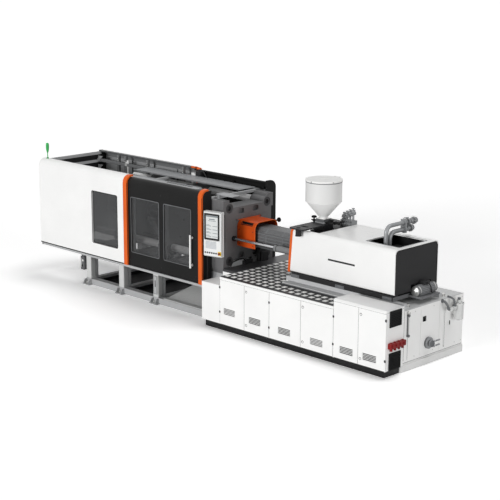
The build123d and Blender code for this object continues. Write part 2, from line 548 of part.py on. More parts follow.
# Stationary platen with its feet on the bed
FOOT_Y = (TOP_IN_Y, TOP_OUT_Y)
FOOT_IN = 60.0        # feet reach this far up into the platens
FOOT_TOP = AXIS_Z - HALF_PLATEN + FOOT_IN
POCKET = (140.0, 90.0, 46.0)      # width, height and depth of the weight saving pockets
POCKET_AT = (170.0, 375.0)        # their distance from the axis
POCKET_ROUND = 30.0               # corner radius of the pockets
FOOT_SET = 30.0                   # feet end before the platen's right face
NUT_COUNTERBORE = NUT_R + 2.0
SPRUE_R = NOZZLE_R + 8.0          # bore for the nozzle
CONE_END_R = BARREL_R + 60.0      # wide end of the cone for the barrel
HINGE_X = FIXED_BACK_X + 14.0     # nozzle guard hinge axis
GUARD_HOOD_Z = (AXIS_Z - 200.0, AXIS_Z + 241.0)    # foot and top of the nozzle guard
HINGE_DOWN = 7.0                  # nozzle guard hinge axis below the guard's top
HINGE_Z = GUARD_HOOD_Z[1] - HINGE_DOWN
HINGE_R = 5.0
NOZZLE_GUARD_Y = 270.0
HINGE_LUG = 15.0
with BuildPart() as stationary_platen:
    with BuildSketch(Plane.YZ.offset(FIXED_FACE_X)):
        fixed_platen_outline()
    extrude(amount=FIXED_THICK)
    for side in (-1, 1):
        foot_y = (side * FOOT_Y[0], side * FOOT_Y[1])
        block((FIXED_FACE_X, FIXED_BACK_X - FOOT_SET), foot_y, (TOP_BEAM_Z[1], FOOT_TOP))
        for level in (-1, 1):
            with BuildSketch(Plane.YZ.offset(FIXED_BACK_X - POCKET[2])):
                with Locations((side * POCKET_AT[0], AXIS_Z + level * POCKET_AT[1])):
                    RectangleRounded(POCKET[0], POCKET[1], POCKET_ROUND)
            extrude(amount=POCKET[2], mode=Mode.SUBTRACT)
            nut = (side * HALF_PITCH, AXIS_Z + level * HALF_PITCH)
            bar_x((NUT_SEAT_X, FIXED_BACK_X), nut[0], nut[1], NUT_COUNTERBORE, Mode.SUBTRACT)
        lug_y = (side * (NOZZLE_GUARD_Y + SIDE), side * (NOZZLE_GUARD_Y + SIDE + HINGE_LUG))
        block((FIXED_BACK_X, HINGE_X + HINGE_LUG), lug_y, (HINGE_Z - HINGE_LUG, HINGE_Z + HINGE_LUG))
        bar_y(HINGE_X, (side * (NOZZLE_GUARD_Y - HINGE_LUG), lug_y[0]), HINGE_Z, HINGE_R)
    mould_holes(FIXED_FACE_X, 1)
    tie_bar_holes((FIXED_FACE_X, FIXED_BACK_X))
    with BuildSketch(Plane.XZ):
        with BuildLine():
            Polyline(
                (FIXED_FACE_X, AXIS_Z),
                (FIXED_FACE_X, AXIS_Z + SPRUE_R),
                (FIXED_FACE_X + FIXED_THICK / 3, AXIS_Z + SPRUE_R),
                (FIXED_BACK_X, AXIS_Z + CONE_END_R),
                (FIXED_BACK_X, AXIS_Z),
                close=True,
            )
        make_face()
    revolve(axis=Axis((0, 0, AXIS_Z), (1, 0, 0)), mode=Mode.SUBTRACT)
keep(stationary_platen, "stationary_platen")

# Tie bars with their nuts, each nut sunk in its corner boss
TIE_BAR_LEFT_X = TAIL_BACK_X - 720.0
NUT_OUT_X = FIXED_BACK_X - 6.0
SOCKET_R = 46.0
SOCKET_DEEP = 34.0
with BuildPart() as tie_bars:
    for side in (-1, 1):
        for level in (-1, 1):
            y = side * HALF_PITCH
            z = AXIS_Z + level * HALF_PITCH
            bar_x((TIE_BAR_LEFT_X, NUT_OUT_X - SOCKET_DEEP), y, z, BAR_R)
            bar_x((NUT_SEAT_X, NUT_OUT_X), y, z, NUT_R)
            with BuildSketch(Plane.YZ.offset(NUT_OUT_X)):
                with Locations((y, z)):
                    RegularPolygon(SOCKET_R, 6)
            extrude(amount=-SOCKET_DEEP, mode=Mode.SUBTRACT)
keep(tie_bars, "tie_bars")

# Tail platen: wall, lugs with pins for the rear links, guide rods, shoes and mould height nuts
TAIL_NUT_R = 110.0
TAIL_NUT_LONG = 150.0
PIN_HEAD = 12.0       # length of the pin heads outside the lugs
SHOE_SET = 20.0       # shoes end before the platens' faces
SHOE_Y = (TOP_IN_Y + SHOE_SET, TOP_OUT_Y)
GUIDE_END_X = CROSS_SHUT_X + 70.0
with BuildPart() as tail_platen:
    with BuildSketch(Plane.YZ.offset(TAIL_BACK_X)):
        platen_outline()
    extrude(amount=TAIL_THICK)
    for side in (-1, 1):
        for level in (-1, 1):
            z = AXIS_Z + level * LINK_PIVOT_Z
            lug_y = (side * FRONT_PLATE_Y, side * (FRONT_PLATE_Y + CHEEK))
            block((TAIL_FRONT_X, TAIL_PIVOT_X), lug_y, (z - LINK_EYE, z + LINK_EYE))
            bar_y(TAIL_PIVOT_X, lug_y, z, LINK_EYE)
            pin = (side * (REAR_PLATE_Y - SIDE), side * (FRONT_PLATE_Y + CHEEK + PIN_HEAD))
            bar_y(TAIL_PIVOT_X, pin, z, LINK_PIN_R)
            nut_x = (TAIL_BACK_X - TAIL_NUT_LONG, TAIL_BACK_X)
            bar_x(nut_x, side * HALF_PITCH, AXIS_Z + level * HALF_PITCH, TAIL_NUT_R)
        bar_x((TAIL_FRONT_X, GUIDE_END_X), side * GUIDE_Y, AXIS_Z, GUIDE_R)
        shoe_y = (side * SHOE_Y[0], side * SHOE_Y[1])
        shoe_x = (TAIL_BACK_X + SHOE_SET, TAIL_FRONT_X - SHOE_SET)
        block(shoe_x, shoe_y, (TOP_BEAM_Z[1] + SEAT, FOOT_TOP))
    tie_bar_holes((TAIL_BACK_X - TAIL_NUT_LONG, TAIL_FRONT_X))
    bar_x((TAIL_BACK_X, TAIL_FRONT_X), 0, AXIS_Z, ROD_R + RUN, Mode.SUBTRACT)
keep(tail_platen, "tail_platen")

# Clamp cylinder behind the tail platen: tube, two square caps and four rods
CAP = 60.0            # thickness of the cylinder caps
CAP_ROUND = 30.0
CAP_ROD_R = 14.0
CAP_ROD_IN = 32.0     # rods from the caps' edges
TUBE_R = CYLINDER_R - 20.0
PISTON_R = 90.0
CYLINDER_X = (TAIL_BACK_X - CYLINDER_LONG, TAIL_BACK_X)
with BuildPart() as clamp_cylinder:
    bar_x(CYLINDER_X, 0, AXIS_Z, TUBE_R)
    for cap_x in (CYLINDER_X[0], CYLINDER_X[1] - CAP):
        with BuildSketch(Plane.YZ.offset(cap_x)):
            with Locations((0, AXIS_Z)):
                RectangleRounded(2 * CYLINDER_R, 2 * CYLINDER_R, CAP_ROUND)
        extrude(amount=CAP)
    for side in (-1, 1):
        for level in (-1, 1):
            rod = CYLINDER_R - CAP_ROD_IN
            bar_x(CYLINDER_X, side * rod, AXIS_Z + level * rod, CAP_ROD_R)
    bar_x((CYLINDER_X[0] + CAP, CYLINDER_X[1] - CAP), 0, AXIS_Z, PISTON_R, Mode.SUBTRACT)
    bar_x((CYLINDER_X[1] - CAP, CYLINDER_X[1]), 0, AXIS_Z, ROD_R + RUN, Mode.SUBTRACT)
keep(clamp_cylinder, "clamp_cylinder")

# Crosshead on its guide rods, with the piston rod and the pins of the crosshead links
CROSS_PLATE_Y = 100.0     # inner face of the crosshead link plates
CROSS_HALF = 45.0         # half length of the crosshead along X
CROSS_LINK_HALF = 24.0    # half width of the crosshead links
CROSS_AROUND = 60.0       # crosshead around its guide rods and above the axis
PISTON_X = (CYLINDER_X[0] + CAP + 20.0, CYLINDER_X[0] + CAP + 80.0)
with BuildPart() as crosshead:
    cross_x = (CROSS_X - CROSS_HALF, CROSS_X + CROSS_HALF)
    cross_y = GUIDE_Y + CROSS_AROUND
    block(cross_x, (-cross_y, cross_y), (AXIS_Z - CROSS_AROUND, AXIS_Z + CROSS_AROUND))
    for level in (-1, 1):
        z = AXIS_Z + level * CROSS_PIVOT_Z
        block(cross_x, (-CROSS_PLATE_Y + SIDE, CROSS_PLATE_Y - SIDE), (AXIS_Z, z))
        bar_y(CROSS_X, (-CROSS_PLATE_Y + SIDE, CROSS_PLATE_Y - SIDE), z, CROSS_HALF)
        bar_y(CROSS_X, (-CROSS_PLATE_Y - CHEEK, CROSS_PLATE_Y + CHEEK), z, CROSS_PIN_R)
    bar_x((PISTON_X[0], CROSS_X), 0, AXIS_Z, ROD_R)
    bar_x(PISTON_X, 0, AXIS_Z, PISTON_R - RUN)
    for side in (-1, 1):
        bar_x(cross_x, side * GUIDE_Y, AXIS_Z, GUIDE_R + RUN, Mode.SUBTRACT)
keep(crosshead, "crosshead")


def link_plates(near_y, start, end, eye, half, bore=0.0):
    """A pair of link plates between two pivots (x, z), with round eyes and a bore at the first."""
    span = sqrt((end[0] - start[0])**2 + (end[1] - start[1])**2)
    turn = degrees(asin((end[1] - start[1]) / span))
    middle = ((start[0] + end[0]) / 2, (start[1] + end[1]) / 2)
    if end[0] < start[0]:
        turn = -turn
    for side in (-1, 1):
        with BuildSketch(Plane.XZ.offset(-side * near_y)) as plate:
            with Locations(Location((middle[0], middle[1], 0), (0, 0, turn))):
                Rectangle(span, 2 * half)
            with Locations(start, end):
                Circle(eye)
            if bore:
                with Locations(start):
                    Circle(bore, mode=Mode.SUBTRACT)
        extrude(plate.sketch, amount=-side * CHEEK)


# Toggle links, an upper and a lower set
ELBOW_X = TAIL_PIVOT_X + REAR_LINK * cos(radians(REAR_ANGLE))
ELBOW_DROP = REAR_LINK * sin(radians(REAR_ANGLE))
ELBOW_TUBE_R = 42.0
BORE_FLOOR = 3.0      # web left between a link plate's pin bore and its tube
for level, word in ((1, "upper"), (-1, "lower")):
    tail_pivot = (TAIL_PIVOT_X, AXIS_Z + level * LINK_PIVOT_Z)
    moving_pivot = (MOVING_PIVOT_X, AXIS_Z + level * LINK_PIVOT_Z)
    elbow = (ELBOW_X, AXIS_Z + level * (LINK_PIVOT_Z - ELBOW_DROP))
    cross_low = (CROSS_X, AXIS_Z + level * CROSS_PIVOT_Z)
    cross_top = (CROSS_TOP_X, AXIS_Z + level * CROSS_TOP_Z)

    with BuildPart() as rear_link:
        link_plates(REAR_PLATE_Y, tail_pivot, elbow, LINK_EYE, LINK_HALF, LINK_PIN_R + RUN)
        bar_y(elbow[0], (-REAR_PLATE_Y, REAR_PLATE_Y), elbow[1], ELBOW_TUBE_R)
    keep(rear_link, f"rear_link_{word}")

    with BuildPart() as front_link:
        link_plates(FRONT_PLATE_Y, elbow, moving_pivot, LINK_EYE, LINK_HALF)
        bar_y(moving_pivot[0], (-FRONT_PLATE_Y, FRONT_PLATE_Y), moving_pivot[1], LINK_HALF)
        for side in (-1, 1):
            bore = (side * (FRONT_PLATE_Y + BORE_FLOOR), side * (FRONT_PLATE_Y + CHEEK))
            bar_y(moving_pivot[0], bore, moving_pivot[1], LINK_PIN_R + RUN, Mode.SUBTRACT)
            head = (side * (FRONT_PLATE_Y + CHEEK), side * (FRONT_PLATE_Y + CHEEK + PIN_HEAD))
            bar_y(elbow[0], head, elbow[1], LINK_PIN_R)
    keep(front_link, f"front_link_{word}")

    with BuildPart() as cross_link:
        link_plates(CROSS_PLATE_Y, cross_low, cross_top, CROSS_EYE, CROSS_LINK_HALF, CROSS_PIN_R + RUN)
        for side in (-1, 1):
            head = (side * (CROSS_PLATE_Y - PIN_HEAD), side * CROSS_PLATE_Y)
            bar_y(cross_top[0], head, cross_top[1], CROSS_PIN_R)
    keep(cross_link, f"crosshead_link_{word}")

# Moving platen: plate, lugs with pins, and shoes on the bed
MOVING_BACK_X = MOVING_FACE_X - MOVING_THICK
LUG_Y = (FRONT_PLATE_Y + CHEEK + SIDE, FRONT_PLATE_Y + 2 * CHEEK + SIDE)
EJECTOR_R = 25.0
EJECTOR_REACH = 200.0     # outer ejector rods from the centre plane
EJECTOR_STROKE = 150.0
RIB = 40.0
SHOE_BEHIND = 60.0        # shoes reach behind the moving platen
with BuildPart() as moving_platen:
    with BuildSketch(Plane.YZ.offset(MOVING_BACK_X)):
        platen_outline()
    extrude(amount=MOVING_THICK)
    for side in (-1, 1):
        for level in (-1, 1):
            z = AXIS_Z + level * LINK_PIVOT_Z
            lug_y = (side * LUG_Y[0], side * LUG_Y[1])
            block((MOVING_PIVOT_X, MOVING_BACK_X), lug_y, (z - LINK_EYE, z + LINK_EYE))
            bar_y(MOVING_PIVOT_X, lug_y, z, LINK_EYE)
            pin = (side * (FRONT_PLATE_Y + BORE_FLOOR + SIDE), side * (LUG_Y[1] + PIN_HEAD))
            bar_y(MOVING_PIVOT_X, pin, z, LINK_PIN_R)
        rib_y = (side * LUG_Y[0], side * (LUG_Y[0] + RIB))
        rib_z = (AXIS_Z - LINK_PIVOT_Z, AXIS_Z + LINK_PIVOT_Z)
        block((MOVING_BACK_X - 2 * RIB, MOVING_BACK_X), rib_y, rib_z)
        shoe_y = (side * SHOE_Y[0], side * SHOE_Y[1])
        shoe_x = (MOVING_BACK_X - SHOE_BEHIND, MOVING_FACE_X - SHOE_SET)
        block(shoe_x, shoe_y, (TOP_BEAM_Z[1] + SEAT, FOOT_TOP))
    mould_holes(MOVING_FACE_X, -1)
    tie_bar_holes((MOVING_BACK_X, MOVING_FACE_X))
    for place in (-EJECTOR_REACH, 0, EJECTOR_REACH):
        bar_x((MOVING_BACK_X, MOVING_FACE_X), place, AXIS_Z, EJECTOR_R + RUN, Mode.SUBTRACT)
keep(moving_platen, "moving_platen")

# Ejector: cross plate with three rods that run through the moving platen
EJECTOR_PLATE = 40.0
EJECTOR_X = MOVING_BACK_X - EJECTOR_STROKE - EJECTOR_PLATE - SLIP
EJECTOR_Y = EJECTOR_REACH + EJECTOR_PLATE
EJECTOR_HALF_Z = 60.0
EJECTOR_ROUND = 25.0
EJECTOR_SHORT = 20.0      # rods end behind the locating recess
with BuildPart() as ejector:
    plate_x = (EJECTOR_X, EJECTOR_X + EJECTOR_PLATE)
    block(plate_x, (-EJECTOR_Y, EJECTOR_Y), (AXIS_Z - EJECTOR_HALF_Z, AXIS_Z + EJECTOR_HALF_Z))
    fillet(ejector.edges().filter_by(Axis.X), EJECTOR_ROUND)
    rod_end = MOVING_FACE_X - LOCATING_DEEP - EJECTOR_SHORT
    for place in (-EJECTOR_REACH, 0, EJECTOR_REACH):
        bar_x((EJECTOR_X, rod_end), place, AXIS_Z, EJECTOR_R)
keep(ejector, "ejector")

# Cover plates over the clamp: rear strip, slotted front strip and a bright plate on the platen
STRIP_REAR_X = (-685.0, 2065.0)
STRIP_REAR_Y = (200.0, POST_Y[0])
STRIP_FRONT_X = (85.0, 1890.0)
STRIP_FRONT_Y = (-POST_Y[1], -480.0)
STRIP_THICK = 10.0
STRIP_DEEP = 30.0     # depth of the front strip's folded edges
SLOT_COUNT = 10
SLOT_FIRST_X = 1085.0
SLOT_PITCH = 66.0
SLOT = (42.0, 16.0)
SLOT_IN = 50.0        # slots from the front strip's inner edge
PLATE_X = (2215.0, 2600.0)
PLATE_Y = (-480.0, -300.0)
PLATE_THICK = 10.0
PLATE_RISE = 65.0     # bright plate above the platen's corner block
PLATEN_TOP = AXIS_Z + HALF_PITCH + BOSS_R
PLATE_Z = (PLATEN_TOP + PLATE_RISE, PLATEN_TOP + PLATE_RISE + PLATE_THICK)
BRACKET_X = (PLATE_X[0] + 25.0, PLATE_X[0] + 85.0)
BRACKET_Y = (PLATE_Y[0], PLATE_Y[0] + 30.0)
with BuildPart() as cover_plates:
    block(STRIP_REAR_X, STRIP_REAR_Y, (REAR_RAIL_Z[1], REAR_RAIL_Z[1] + STRIP_THICK))
    block(STRIP_FRONT_X, STRIP_FRONT_Y, (FRONT_RAIL_Z[1], FRONT_RAIL_Z[1] + STRIP_DEEP))
    for count in range(SLOT_COUNT):
        slot_x = SLOT_FIRST_X + count * SLOT_PITCH
        slot_y = STRIP_FRONT_Y[1] - SLOT_IN
        block(
            (slot_x - SLOT[0] / 2, slot_x + SLOT[0] / 2),
            (slot_y - SLOT[1] / 2, slot_y + SLOT[1] / 2),
            (FRONT_RAIL_Z[1], FRONT_RAIL_Z[1] + STRIP_DEEP),
            Mode.SUBTRACT,
        )
    block(PLATE_X, PLATE_Y, PLATE_Z)
    block(BRACKET_X, BRACKET_Y, (PLATEN_TOP, PLATE_Z[0]))
keep(cover_plates, "cover_plates")

# Sliding safety door: hood sheet with two windows and hanger blocks over the upper rail
PANES_LEFT = DOOR_X + PANE_LEFT
PANES_RIGHT = DOOR_END_X - PANE_RIGHT
PANE_POST = PANES_LEFT + PANE_SHARE * (PANES_RIGHT - PANES_LEFT - PANE_BETWEEN)
DOOR_LEFT_PANE = (PANES_LEFT, PANE_POST)
DOOR_RIGHT_PANE = (PANE_POST + PANE_BETWEEN, PANES_RIGHT)
DOOR_PANE_Z = (GUARD_BOTTOM + 250.0, GUARD_TOP - 368.0)
HANGER_IN = 180.0     # outer hangers from the door's edges
HANGER_WIDE = 80.0
HANGER_HIGH = 45.0
HANGER_Z = (DOOR_RAIL_Z[1] + SEAT, DOOR_RAIL_Z[1] + HANGER_HIGH)
HANGER_Y = (DOOR_RAIL_Y[0] + 5.0, DOOR_BACK_Y)


def hangers(side, left, right):
    """Three blocks on the inner face of a door that rest on its upper rail."""
    for place in (left + HANGER_IN, (left + right) / 2, right - HANGER_IN):
        x = (place - HANGER_WIDE / 2, place + HANGER_WIDE / 2)
        block(x, (side * HANGER_Y[0], side * HANGER_Y[1]), HANGER_Z)


with BuildPart() as safety_door:
    hood((DOOR_X - DOOR_LAP, DOOR_END_X + DOOR_LAP), -1, inset=DOOR_INSET, wall=DOOR_WALL)
    hangers(-1, DOOR_X, DOOR_END_X)
    for left, right in (DOOR_LEFT_PANE, DOOR_RIGHT_PANE):
        with BuildSketch(Plane.XZ.offset(DOOR_Y - DOOR_WALL)) as hole:
            with Locations(((left + right) / 2, sum(DOOR_PANE_Z) / 2)):
                RectangleRounded(right - left, DOOR_PANE_Z[1] - DOOR_PANE_Z[0], WINDOW_ROUND)
        extrude(hole.sketch, amount=DOOR_WALL, mode=Mode.SUBTRACT)
        pane_x = (left - WINDOW_LAP, right + WINDOW_LAP)
        pane_z = (DOOR_PANE_Z[0] - WINDOW_LAP, DOOR_PANE_Z[1] + WINDOW_LAP)
        block(pane_x, (-DOOR_BACK_Y - PANE, -DOOR_BACK_Y), pane_z, Mode.SUBTRACT)
keep(safety_door, "safety_door")

with BuildPart() as door_windows:
    for left, right in (DOOR_LEFT_PANE, DOOR_RIGHT_PANE):
        block((left - WINDOW_LAP, right + WINDOW_LAP), (-DOOR_BACK_Y - PANE, -DOOR_BACK_Y), pane_z)
keep(door_windows, "door_windows")

# Long handle on two standoffs
HANDLE_X = (DOOR_END_X - 196.0, DOOR_END_X - 164.0)
HANDLE_Z = (GUARD_BOTTOM + 244.0, GUARD_BOTTOM + 812.0)
HANDLE_OUT_Y = -GUARD_Y - 23.0
HANDLE_DEEP = 22.0
HANDLE_ROUND = 7.0
STANDOFF_IN = 50.0    # standoffs from the handle's ends
STANDOFF_HALF = 20.0
STANDOFF_SET = 4.0    # standoffs narrower than the handle, each side
with BuildPart() as door_handle:
    block(HANDLE_X, (HANDLE_OUT_Y, HANDLE_OUT_Y + HANDLE_DEEP), HANDLE_Z)
    fillet(door_handle.edges().filter_by(Axis.Z), HANDLE_ROUND)
    standoff_x = (HANDLE_X[0] + STANDOFF_SET, HANDLE_X[1] - STANDOFF_SET)
    standoff_y = (HANDLE_OUT_Y + HANDLE_DEEP, -DOOR_Y)
    for level in (HANDLE_Z[0] + STANDOFF_IN, HANDLE_Z[1] - STANDOFF_IN):
        block(standoff_x, standoff_y, (level - STANDOFF_HALF, level + STANDOFF_HALF))
keep(door_handle, "door_handle")

# Rear sliding door
with BuildPart() as rear_door:
    hood((REAR_DOOR_X - DOOR_LAP, REAR_DOOR_END_X), 1, inset=DOOR_INSET, wall=DOOR_WALL)
    hangers(1, REAR_DOOR_X, REAR_DOOR_END_X)
keep(rear_door, "rear_door")

# Control panel, turned about its left front edge, with knuckles on the post
BUTTON_R = 9.0
BUTTON_COUNT = 6
BUTTON_PITCH = 42.0
BUTTON_FIRST = 40.0
BUTTON_UP = 60.0
STOP_RIGHT = 36.0     # emergency stop from the right edge
STOP_UP = 62.0        # emergency stop above the bottom edge
STOP_R = 19.0
STOP_STEM_R = 11.0
BUTTON_OUT = 6.0
STOP_HOLE = (-3.0, 30.0)      # hole for the stem, from the panel's face
STOP_STEM = (-20.0, 20.0)     # stem, from the panel's face
STOP_HEAD = (-30.0, -10.0)    # head, from the panel's face
PANEL_ROUND = 14.0
SCREEN_DEEP = 4.0
SCREEN_W = 250.0
SCREEN_Z = (PANEL_Z[0] + 300.0, PANEL_Z[1] - 55.0)
SCREEN_LEFT = 40.0
KEYS_Z = (PANEL_Z[0] + 125.0, PANEL_Z[0] + 255.0)
KEYS_WIDE = 220.0
KEY_RISE = 2.0
KNUCKLE_R = PANEL_POST_R + 14.0
KNUCKLE_H = 60.0
ARM_REACH = 130.0
BITE = 1.0            # how far joined shapes of one piece run into each other
panel_place = Location((PANEL_X, PANEL_Y, 0), (0, 0, PANEL_TURN))
post_from_edge = (PANEL_POST_X - PANEL_X, PANEL_POST_Y - PANEL_Y)
turn_cos = cos(radians(PANEL_TURN))
turn_sin = sin(radians(PANEL_TURN))
POST_ALONG = post_from_edge[0] * turn_cos + post_from_edge[1] * turn_sin
POST_BEHIND = post_from_edge[1] * turn_cos - post_from_edge[0] * turn_sin
KNUCKLES_Z = (PANEL_BRACKET_Z[0] + KNUCKLE_H, PANEL_BRACKET_Z[1] - 2 * KNUCKLE_H)
with BuildPart() as control_panel:
    with Locations(panel_place):
        block((0, PANEL_WIDE), (0, PANEL_THICK), PANEL_Z)
    fillet(control_panel.edges().filter_by(Axis.Z), PANEL_ROUND)
    stop_at = (PANEL_WIDE - STOP_RIGHT, PANEL_Z[0] + STOP_UP)
    with Locations(panel_place):
        block((SCREEN_LEFT, SCREEN_LEFT + SCREEN_W), (0, SCREEN_DEEP), SCREEN_Z, Mode.SUBTRACT)
        block((SCREEN_LEFT, SCREEN_LEFT + KEYS_WIDE), (-KEY_RISE, BITE), KEYS_Z)
        for count in range(BUTTON_COUNT):
            button_x = BUTTON_FIRST + count * BUTTON_PITCH
            bar_y(button_x, (-BUTTON_OUT, BITE), PANEL_Z[0] + BUTTON_UP, BUTTON_R)
        bar_y(stop_at[0], STOP_HOLE, stop_at[1], STOP_STEM_R + RUN, Mode.SUBTRACT)
        for level in KNUCKLES_Z:
            bar_z(POST_ALONG, POST_BEHIND, (level, level + KNUCKLE_H), KNUCKLE_R)
            arm_y = (PANEL_THICK - BITE, POST_BEHIND + PANEL_POST_R)
            block((POST_ALONG, ARM_REACH), arm_y, (level, level + KNUCKLE_H))
            bar_z(POST_ALONG, POST_BEHIND, (level, level + KNUCKLE_H), PANEL_POST_R + RUN, Mode.SUBTRACT)
keep(control_panel, "control_panel")

with BuildPart() as emergency_stop:
    with Locations(panel_place):
        bar_y(stop_at[0], STOP_STEM, stop_at[1], STOP_STEM_R)
        bar_y(stop_at[0], STOP_HEAD, stop_at[1], STOP_R)
keep(emergency_stop, "emergency_stop")

# Injection bed: low left part, oil tank, base beam with rounded corners, and the carriage rails
TANK_LEFT_X = 3885.0
BASE_OUT = 20.0
BASE_REAR_OUT = 28.0
RAIL_CENTRE_Y = 430.0
RAIL_W = 70.0
RAIL_X = (3820.0, 6190.0)
RAIL_TOP = 1000.0
BASE_ROUND = 45.0
TANK_RELIEF = 8.0     # depth of the slots and the square recess in the tank's end
SLOT_HALF_Y = 18.0
SLOT_Z = (495.0, 565.0)
RECESS_Y = (-112.0, -36.0)
RECESS_Z = (682.0, 758.0)
SEAM_Z = (BASE_BEAM_H + 60.0, TANK_TOP - 50.0)
with BuildPart() as injection_bed:
    base_y = (BED_FRONT_Y, BED_REAR_Y + BASE_REAR_OUT)
    block((BED_LEFT_X, BED_RIGHT_X + BASE_OUT), base_y, (0, BASE_BEAM_H))
    fillet(injection_bed.edges().filter_by(Axis.Z), BASE_ROUND)
    bed_y = (BED_FRONT_Y, BED_REAR_Y)
    block((BED_LEFT_X, TANK_LEFT_X), bed_y, (0, CABINET_TOP))
    block((TANK_LEFT_X, BED_RIGHT_X), bed_y, (BASE_BEAM_H, TANK_TOP))
    for side in (-1, 1):
        rail_y = (side * (RAIL_CENTRE_Y - RAIL_W / 2), side * (RAIL_CENTRE_Y + RAIL_W / 2))
        block(RAIL_X, rail_y, (CABINET_TOP, RAIL_TOP))
    for feature_y in TANK_SEAM_Y:
        seam = (feature_y - SEAM / 2, feature_y + SEAM / 2)
        block((BED_RIGHT_X - SEAM, BED_RIGHT_X), seam, SEAM_Z, Mode.SUBTRACT)
    relief_x = (BED_RIGHT_X - TANK_RELIEF, BED_RIGHT_X)
    for slot_y in TANK_SLOT_Y:
        block(relief_x, (slot_y - SLOT_HALF_Y, slot_y + SLOT_HALF_Y), SLOT_Z, Mode.SUBTRACT)
    block(relief_x, RECESS_Y, RECESS_Z, Mode.SUBTRACT)
keep(injection_bed, "injection_bed")

# Cabinets in front of the injection bed: carcass with compartments, narrow box and plinth
MAIN_SEAMS = [CABINET_LEFT_X]
for width in DOOR_WIDTHS:
    MAIN_SEAMS.append(MAIN_SEAMS[-1] + width)
RAISED_SEAMS = [MAIN_SEAMS[-1]]
for width in RAISED_WIDTHS:
    RAISED_SEAMS.append(RAISED_SEAMS[-1] + width)
CARCASS_FRONT = CABINET_FRONT + SHEET + DOOR_SEAT
PIN_IN = 6.0          # hinge pin from the door's edge and from its front face
DOOR_PIN_Y = CABINET_FRONT + PIN_IN
DOOR_PIN_R = 3.5
DOOR_PIN_LONG = 14.0
LEAF_HALF = 5.0       # half width of the hinge leaves
HEADER_Z = CABINET_TOP - 28.0
TREAD_TOP = CABINET_TOP + TREAD_THICK


def door_pins(seams, top):
    """Hinge pins for each door, from the header above it and from a small leaf below it."""
    for number, (left, right) in enumerate(zip(seams[:-1], seams[1:])):
        pin_x = left + DOOR_GAP + PIN_IN if number % 2 == 0 else right - DOOR_GAP - PIN_IN
        leaf_x = (pin_x - LEAF_HALF, pin_x + LEAF_HALF)
        leaf_z = (CABINET_BOTTOM - LEAF_HALF, CABINET_BOTTOM + DOOR_GAP - SIDE)
        block(leaf_x, (DOOR_PIN_Y - LEAF_HALF, CARCASS_FRONT + SHEET), leaf_z)
        bar_z(pin_x, DOOR_PIN_Y, (leaf_z[0], leaf_z[1] + DOOR_PIN_LONG), DOOR_PIN_R)
        bar_z(pin_x, DOOR_PIN_Y, (top - DOOR_PIN_LONG, top + LEAF_HALF), DOOR_PIN_R)


def compartments(seams, rear, top):
    """Hollow out one compartment behind each door."""
    for left, right in zip(seams[:-1], seams[1:]):
        inside = (left + SHEET, right - SHEET)
        block(inside, (CARCASS_FRONT, rear - SHEET), (CABINET_BOTTOM + SHEET, top - SHEET), Mode.SUBTRACT)


with BuildPart() as cabinet_carcass:
    block((MAIN_SEAMS[0], MAIN_SEAMS[-1]), (CARCASS_FRONT, BED_FRONT_Y), (CABINET_BOTTOM, CABINET_TOP))
    compartments(MAIN_SEAMS, BED_FRONT_Y, HEADER_Z)
    block((MAIN_SEAMS[0], MAIN_SEAMS[-1]), (CABINET_FRONT, CARCASS_FRONT), (HEADER_Z, CABINET_TOP))
    block((MAIN_SEAMS[0], MAIN_SEAMS[-1]), (CABINET_FRONT, CABINET_FRONT + LIP), (HEADER_Z, TREAD_TOP))
    block((NARROW_LEFT_X, CABINET_LEFT_X), (CABINET_FRONT, BED_FRONT_Y), (CABINET_BOTTOM, NARROW_TOP))
    plinth_x = (NARROW_LEFT_X + 2, RAISED_SEAMS[-1] - PLINTH_SET)
    block(plinth_x, (CABINET_FRONT + PLINTH_SET, BED_FRONT_Y), (0, CABINET_BOTTOM))
    door_pins(MAIN_SEAMS, HEADER_Z)
keep(cabinet_carcass, "cabinet_carcass")

with BuildPart() as tread_platform:
    block((MAIN_SEAMS[0], TANK_LEFT_X), (CABINET_FRONT + LIP, TREAD_REAR_Y), (CABINET_TOP, TREAD_TOP))
    block((TANK_LEFT_X, MAIN_SEAMS[-1]), (CABINET_FRONT + LIP, BED_FRONT_Y), (CABINET_TOP, TREAD_TOP))
    for side in (-1, 1):
        rail_y = (side * (RAIL_CENTRE_Y - RAIL_W / 2), side * (RAIL_CENTRE_Y + RAIL_W / 2))
        block((RAIL_X[0], TANK_LEFT_X), rail_y, (CABINET_TOP, TREAD_TOP), Mode.SUBTRACT)
keep(tread_platform, "tread_platform")

RAISED_HEADER_Z = RAISED_TOP - 42.0
BEVEL = 24.0
with BuildPart() as raised_cabinet:
    block((RAISED_SEAMS[0], RAISED_SEAMS[-1]), (CABINET_FRONT, RAISED_REAR), (CABINET_BOTTOM, RAISED_TOP))
    top_edges = raised_cabinet.faces().sort_by(Axis.Z)[-1].edges()
    chamfer(top_edges.filter_by(Axis.X).sort_by(Axis.Y)[0], BEVEL)
    door_space = (CABINET_FRONT, CARCASS_FRONT)
    block((RAISED_SEAMS[0], RAISED_SEAMS[-1]), door_space, (CABINET_BOTTOM, RAISED_HEADER_Z), Mode.SUBTRACT)
    compartments(RAISED_SEAMS, RAISED_REAR, RAISED_HEADER_Z)
    door_pins(RAISED_SEAMS, RAISED_HEADER_Z)
keep(raised_cabinet, "raised_cabinet")


